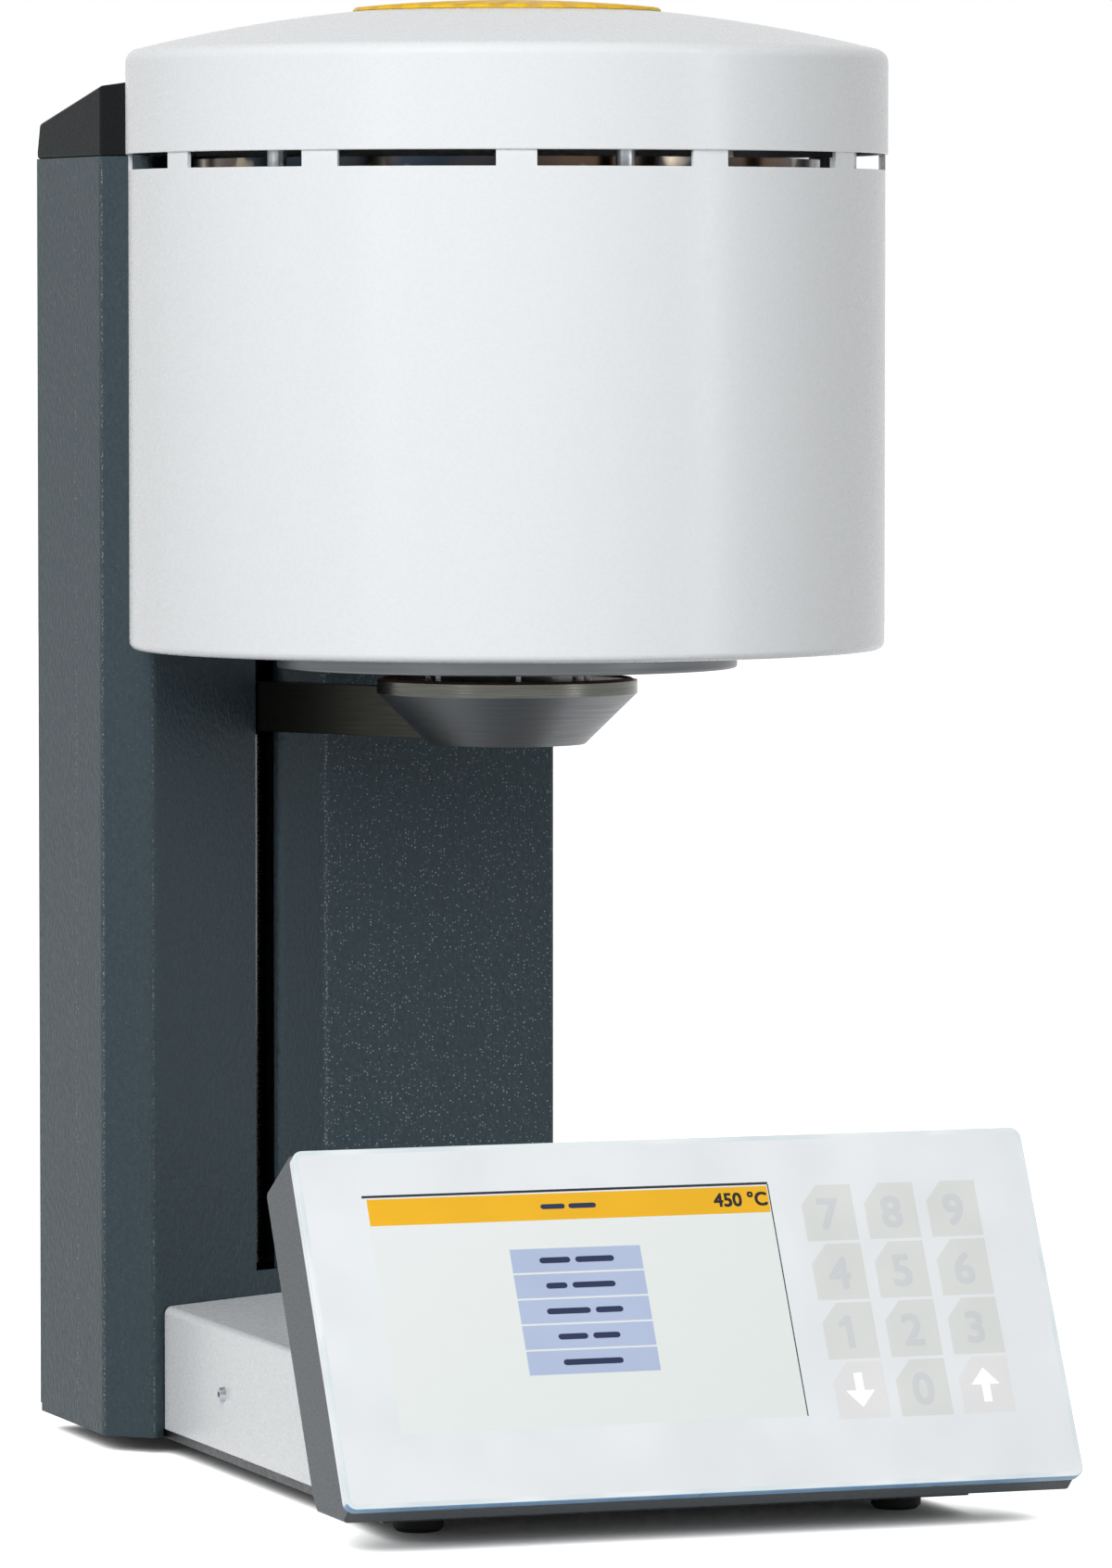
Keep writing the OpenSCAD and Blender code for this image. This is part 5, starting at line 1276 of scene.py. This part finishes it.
class FURNACE_OT_screen(Operator):
    """Screen picture behind the glass: title bar, five fields with plain marks, and a temperature"""
    bl_idname = "furnace.screen"
    bl_label = "Screen"

    def execute(self, context):
        panel = context.scene.furnace_panel
        left, low = panel.screen_x, panel.screen_low
        right, high = left + panel.screen_w, low + panel.screen_h

        def shown(name, outlines, layer, finish):
            bm = bmesh.new()
            for outline in outlines:
                print_on_glass(bm, outline, layer)
            printed_piece(name, bm, panel, finish)

        shown("screen_field", [field(left, low, panel.screen_w, panel.screen_h)], 0, finish_of("screen"))
        title_h, left_gap, both_gaps, top_gap = 10 * MM, 0.6 * MM, 0.9 * MM, 0.1 * MM
        title = field(left + left_gap, high - top_gap - title_h, panel.screen_w - both_gaps, title_h)
        shown("screen_title_bar", [title], 1, printed("title"))
        menu_w, menu_h, menu_pitch = 48.8 * MM, 8.9 * MM, 9.6 * MM
        menu_x, menu_z = left + 50.4 * MM, high - 29.7 * MM
        # Widths of the marks that stand for the words of each field, in millimetres
        words = [(11.6, 14.6), (8.0, 16.2), (16.4, 10.4), (11.2, 10.2), (22.4,)]
        rows = [menu_z - menu_pitch * k for k in range(len(words))]
        shown("screen_menu_fields", [field(menu_x, z, menu_w, menu_h) for z in rows], 1, printed("bar"))
        line_gap, top_line, side_line = 0.5 * MM, 0.9 * MM, 0.4 * MM
        shown("screen_lines", [field(left - MM, high + line_gap, panel.screen_w + 1.2 * MM, top_line),
                               field(right, low, side_line, panel.screen_h + line_gap)], 1, printed("line"))
        marks = line_of_marks(left + 64.5 * MM, high - 6.0 * MM, (9.2, 10.4), 1.3 * MM, 1.9 * MM)
        gap, mark_h, mark_rise = 1.8 * MM, 2.2 * MM, 3.3 * MM
        for z, widths in zip(rows, words):
            total = sum(widths) * MM + gap * (len(widths) - 1)
            marks += line_of_marks(menu_x + (menu_w - total) / 2, z + mark_rise, widths, gap, mark_h)
        shown("screen_marks", marks, 2, printed("ink"))
        bm = bmesh.new()
        lettering(bm, "450 °C", right - 21 * MM, high - 7.4 * MM, height=5.2 * MM, layer=2)
        printed_piece("screen_temperature", bm, panel, printed("readout"))
        return {"FINISHED"}


class FURNACE_OT_keys(Operator):
    """Twelve touch fields with numbers and two arrows, printed behind the glass"""
    bl_idname = "furnace.keys"
    bl_label = "Keys"

    def execute(self, context):
        panel = context.scene.furnace_panel
        w, h = panel.key_w, panel.key_h
        cut_x, cut_z, digit_z, digit_h = 6.5 * MM, 7.4 * MM, 4.4 * MM, 11.4 * MM
        # Outlines in millimetres from the field's middle: the up arrow, and the flag of the 1
        arrow = [(-1.5, -6.4), (1.5, -6.4), (1.5, 0.2), (5.3, 0.2), (0, 6.4), (-5.3, 0.2), (-1.5, 0.2)]
        flag = [(0, 5.55), (-3.7, 3.45), (-3.7, 1.05), (0, 2.85)]
        fields, digits, arrows = bmesh.new(), bmesh.new(), bmesh.new()
        rows = ("<0>", "123", "456", "789")
        places = [(mark, i, j) for j, row in enumerate(rows) for i, mark in enumerate(row)]
        for mark, i, j in places:
            x, z = panel.key_x + i * panel.pitch_x, panel.key_low + j * panel.pitch_z
            middle_x, middle_z = x + w / 2, z + h / 2
            outline = [(x, z), (x + w, z), (x + w, z + h), (x + cut_x, z + h), (x, z + h - cut_z)]
            for face in print_on_glass(fields, outline, 0):
                face.material_index = 1 if mark in "<>" else 0
            if mark in "<>":
                up = MM if mark == ">" else -MM
                print_on_glass(arrows, [(middle_x + ax * MM, middle_z + az * up) for ax, az in arrow], 1)
            else:
                lettering(digits, mark, middle_x, z + digit_z, digit_h, layer=1, centred=True)
            if mark == "1":
                # The font's 1 is a bare stem, so its flag lies over the lettering's last copy
                slanting = [(middle_x + fx * MM, middle_z + fz * MM) for fx, fz in flag]
                print_on_glass(digits, slanting, layer=1.4)
        printed_piece("key_fields", fields, panel, printed("key"), printed("key_light"))
        printed_piece("key_digits", digits, panel, printed("digit"))
        printed_piece("key_arrows", arrows, panel, finish_of("arrow"))
        return {"FINISHED"}


# Lift


class FURNACE_OT_table(Operator):
    """Turned firing table with its bright rim, cone and the groove for the arm"""
    bl_idname = "furnace.table"
    bl_label = "Firing table"

    def execute(self, context):
        lift, head = context.scene.furnace_lift, context.scene.furnace_head
        place = MACHINE @ Matrix.Rotation(context.scene.furnace_column.slant, 4, "Z")
        rim_low = lift.low + lift.cone
        top = rim_low + lift.rim
        # The cone leans at about 45 degrees, and the seal's groove lies between the mouth and the rim
        small = lift.table - lift.cone - 0.4 * MM
        seal = (head.mouth + lift.table) / 2 + 0.5 * MM
        groove, seat = 1.4 * MM, top - 1.8 * MM
        bm = turned([(0, lift.low), (small, lift.low), (lift.table, rim_low), (lift.table, top),
                     (seal + groove, top), (seal + groove, seat), (seal - groove, seat),
                     (seal - groove, top), (0, top)], TURNED_STEPS)
        for face in bm.faces:
            if middle(face).z > rim_low:
                face.material_index = 1
        piece = new_piece("firing_table", bm, place, "lift_table",
                          [finish_of("satin_steel"), finish_of("rim")])
        play, front, back = 0.15 * MM, -14.2 * MM, 80 * MM
        half = lift.arm / 2 + play
        carved(piece, place, block((-half, front, lift.low - MM), (half, back, lift.arm_top)))
        broken_edges(piece, width=0.6 * MM, segments=3)
        return {"FINISHED"}


class FURNACE_OT_arm(Operator):
    """Flat lift arm, plinth and carriage with broken edges"""
    bl_idname = "furnace.arm"
    bl_label = "Arm and plinth"

    def execute(self, context):
        softened("lift_arm", width=0.5 * MM, finish="arm")
        softened("firing_plinth", width=0.5 * MM)
        softened("lift_carriage", width=0.5 * MM)
        return {"FINISHED"}


# Rear fittings and small parts


class FURNACE_OT_rear(Operator):
    """Mains inlet, switch, fuse holder, hose barb and fan at the back"""
    bl_idname = "furnace.rear"
    bl_label = "Rear fittings"

    def execute(self, context):
        for node in ("mains_inlet", "switch_frame", "fuse_holder", "fan_frame", "power_rocker"):
            softened(node, width=0.4 * MM)
        softened("vacuum_port", width=0.3 * MM)
        return {"FINISHED"}


class FURNACE_OT_screws(Operator):
    """Cover screws with round heads and sunk sockets"""
    bl_idname = "furnace.screws"
    bl_label = "Cover screws"

    def execute(self, context):
        head, column = context.scene.furnace_head, context.scene.furnace_column
        base = context.scene.furnace_base
        from_edge, plate = 6 * MM, 1.5 * MM
        back_heights = (20 * MM, 200 * MM, 340 * MM, head.seam - 12 * MM)
        tray_depths = (-100 * MM, 0)
        places = []
        for x in (-column.left + from_edge, column.right - from_edge):
            for z in back_heights:
                places.append(Matrix.Translation((x, column.back + plate, z))
                              @ Matrix.Rotation(-math.pi / 2, 4, "X"))
        for y in tray_depths:
            for side in (-1, 1):
                places.append(Matrix.Translation((side * base.width / 2, y, base.high / 2))
                              @ Matrix.Rotation(side * math.pi / 2, 4, "Y"))
        bm = bmesh.new()
        for place in places:
            self.add_screw(bm, place)
        new_piece("cover_screws", bm, MACHINE, "case_screws")
        return {"FINISHED"}

    def add_screw(self, bm, place):
        """Add a screw whose head stands on the place's origin, with its socket towards the place's +Z."""
        radius, shank = 1.5 * MM, 5 * MM
        foot, crown_radius, head_height = 1.8 * radius, 1.5 * radius, 1.4 * radius
        socket_rim, socket_depth = 0.75 * radius, 0.8 * radius
        head_place = place @ Matrix.Translation((0, 0, head_height / 2))
        made = bmesh.ops.create_cone(bm, cap_ends=True, segments=24, radius1=foot, radius2=crown_radius,
                                     depth=head_height, matrix=head_place)
        faces = {face for vert in made["verts"] for face in vert.link_faces}
        up = place.to_3x3() @ Vector((0, 0, 1))
        crown = max(faces, key=lambda face: middle(face).dot(up))
        bmesh.ops.inset_region(bm, faces=[crown], thickness=socket_rim)
        sunk = bmesh.ops.extrude_discrete_faces(bm, faces=[crown])["faces"][0]
        bmesh.ops.translate(bm, vec=-up * socket_depth, verts=sunk.verts)
        bmesh.ops.create_cone(bm, cap_ends=True, segments=12, radius1=radius, radius2=radius, depth=shank,
                              matrix=place @ Matrix.Translation((0, 0, -shank / 2)))


class FURNACE_OT_inner(Operator):
    """Finishes of the nodes that keep their CAD shape"""
    bl_idname = "furnace.inner"
    bl_label = "Other finishes"

    def execute(self, context):
        for node, slot in SLOT.items():
            for holder in frame["nodes"][node].material_slots:
                holder.material = finish_of(slot)
        return {"FINISHED"}


# Studio


class FURNACE_OT_studio(Operator):
    """Pale floor, plain room light, a large soft lamp, two tall ones for the gloss, and the camera"""
    bl_idname = "furnace.studio"
    bl_label = "Studio"

    def execute(self, context):
        scene, studio = context.scene, context.scene.furnace_studio
        self.add_floor(scene, studio)
        self.add_room(scene, studio)
        large = self.add_lamp(scene, studio, "large_soft_lamp", studio.key_level, studio.key_turn,
                              studio.key_rise, studio.key_size, studio.key_size)
        # The room already looks white in the gloss, so the large lamp adds no patch of its own there
        large.visible_glossy = False
        self.add_lamp(scene, studio, "right_tall_lamp", studio.strip_level, studio.strip_turn,
                      studio.strip_rise, studio.strip_width, studio.strip_height)
        self.add_lamp(scene, studio, "left_tall_lamp", studio.left_level, studio.left_turn,
                      studio.strip_rise, studio.strip_width, studio.strip_height)
        camera = bpy.data.cameras.new("camera")
        camera.sensor_width = studio.sensor
        camera.lens = studio.lens
        holder = bpy.data.objects.new("camera", camera)
        self.aim(scene, studio, holder, studio.camera_turn, studio.camera_rise, studio.camera_distance)
        scene.camera = holder
        scene.view_settings.view_transform = "Standard"
        return {"FINISHED"}

    def add_lamp(self, scene, studio, name, level, side, rise, width, height):
        """Stand a soft lamp that gives a surface facing it the wanted level."""
        lamp = bpy.data.lights.new(name, "AREA")
        lamp.shape = "RECTANGLE"
        lamp.size = width
        lamp.size_y = height
        # The power that lights a facing surface to that level from the lamp's distance
        lamp.energy = level * math.pi ** 2 * studio.lamp_distance ** 2
        holder = bpy.data.objects.new(name, lamp)
        self.aim(scene, studio, holder, side, rise, studio.lamp_distance)
        return holder

    def aim(self, scene, studio, thing, side, rise, distance):
        """Stand a lamp or the camera at an angle and turn it to what it looks at."""
        away = Vector((-math.sin(side) * math.cos(rise), -math.cos(side) * math.cos(rise), math.sin(rise)))
        thing.location = Vector(studio.target) + away * distance
        thing.rotation_euler = away.to_track_quat("Z", "Y").to_euler()
        scene.collection.objects.link(thing)

    def add_floor(self, scene, studio):
        """Floor that looks white to the camera and in the gloss, and keeps the object's shadow."""
        bm = bmesh.new()
        bmesh.ops.create_grid(bm, x_segments=1, y_segments=1, size=studio.floor)
        mesh = bpy.data.meshes.new("floor")
        bm.to_mesh(mesh)
        bm.free()
        floor = bpy.data.objects.new("floor", mesh)
        scene.collection.objects.link(floor)
        finish = bpy.data.materials.new("studio_floor_white")
        finish.use_nodes = True
        tree = finish.node_tree
        tree.nodes.clear()
        # The floor glows where nothing stands near it, and the object's foot darkens it
        open_sky = add(tree, "AmbientOcclusion", {"Distance": studio.contact}, "AO", samples=16)
        lift = add(tree, "MapRange", {"Value": open_sky, "From Min": 0.02, "From Max": 0.5},
                   interpolation_type="SMOOTHSTEP")
        glow = add(tree, "Emission", {"Color": WHITE, "Strength": lift})
        pale = add(tree, "BsdfDiffuse", {"Color": linear("#f0f1f2")})
        bright = add(tree, "AddShader", {0: pale, 1: glow})
        plain = add(tree, "BsdfDiffuse", {"Color": linear("#bcbdbe")})
        both = add(tree, "MixShader", {0: seen_directly(tree), 1: plain, 2: bright})
        add(tree, "OutputMaterial", {"Surface": both}, None)
        mesh.materials.append(finish)

    def add_room(self, scene, studio):
        """Room light, dimmer towards the ceiling, and white to the camera and in the gloss."""
        world = bpy.data.worlds.new("room")
        scene.world = world
        world.use_nodes = True
        tree = world.node_tree
        tree.nodes.clear()
        aim = add(tree, "TexCoord", {}, "Generated")
        height = add(tree, "SeparateXYZ", {"Vector": aim}).node.outputs["Z"]
        light = add(tree, "MapRange", {"Value": height, "To Min": studio.room, "To Max": studio.ceiling})
        level = add(tree, "MapRange", {"Value": seen_directly(tree), "To Min": light, "To Max": 1.0})
        room = add(tree, "Background", {"Color": WHITE, "Strength": level})
        add(tree, "OutputWorld", {"Surface": room}, None)


def seen_directly(tree):
    """1 for what the camera sees itself, in a reflection or through glass."""
    rays = add(tree, "LightPath", {}).node.outputs
    first = add(tree, "Math", {0: rays["Is Camera Ray"], 1: rays["Is Glossy Ray"]}, operation="MAXIMUM")
    return add(tree, "Math", {0: first, 1: rays["Is Transmission Ray"]}, operation="MAXIMUM")


OPERATORS = [
    FURNACE_OT_inner, FURNACE_OT_jacket, FURNACE_OT_lid, FURNACE_OT_disc, FURNACE_OT_ring,
    FURNACE_OT_column, FURNACE_OT_column_ends, FURNACE_OT_shield, FURNACE_OT_tray, FURNACE_OT_casing,
    FURNACE_OT_glass, FURNACE_OT_screen, FURNACE_OT_keys, FURNACE_OT_table, FURNACE_OT_arm, FURNACE_OT_rear,
    FURNACE_OT_screws, FURNACE_OT_studio,
]


class FURNACE_PT_sidebar(Panel):
    """Buttons for the furnace's pieces and its studio"""
    bl_idname = "FURNACE_PT_sidebar"
    bl_label = "Dental Porcelain Furnace"
    bl_space_type = "VIEW_3D"
    bl_region_type = "UI"
    bl_category = "Furnace"

    def draw(self, context):
        for operator in OPERATORS:
            self.layout.operator(operator.bl_idname)


CLASSES = [*SETTINGS.values(), *OPERATORS, FURNACE_PT_sidebar]


def register():
    for item in CLASSES:
        bpy.utils.register_class(item)
    for name, group in SETTINGS.items():
        setattr(bpy.types.Scene, name, PointerProperty(type=group))


def unregister():
    for name in SETTINGS:
        delattr(bpy.types.Scene, name)
    for item in reversed(CLASSES):
        bpy.utils.unregister_class(item)


def main():
    register()
    for operator in OPERATORS:
        group, name = operator.bl_idname.split(".")
        getattr(getattr(bpy.ops, group), name)()


if __name__ == "__main__":
    main()
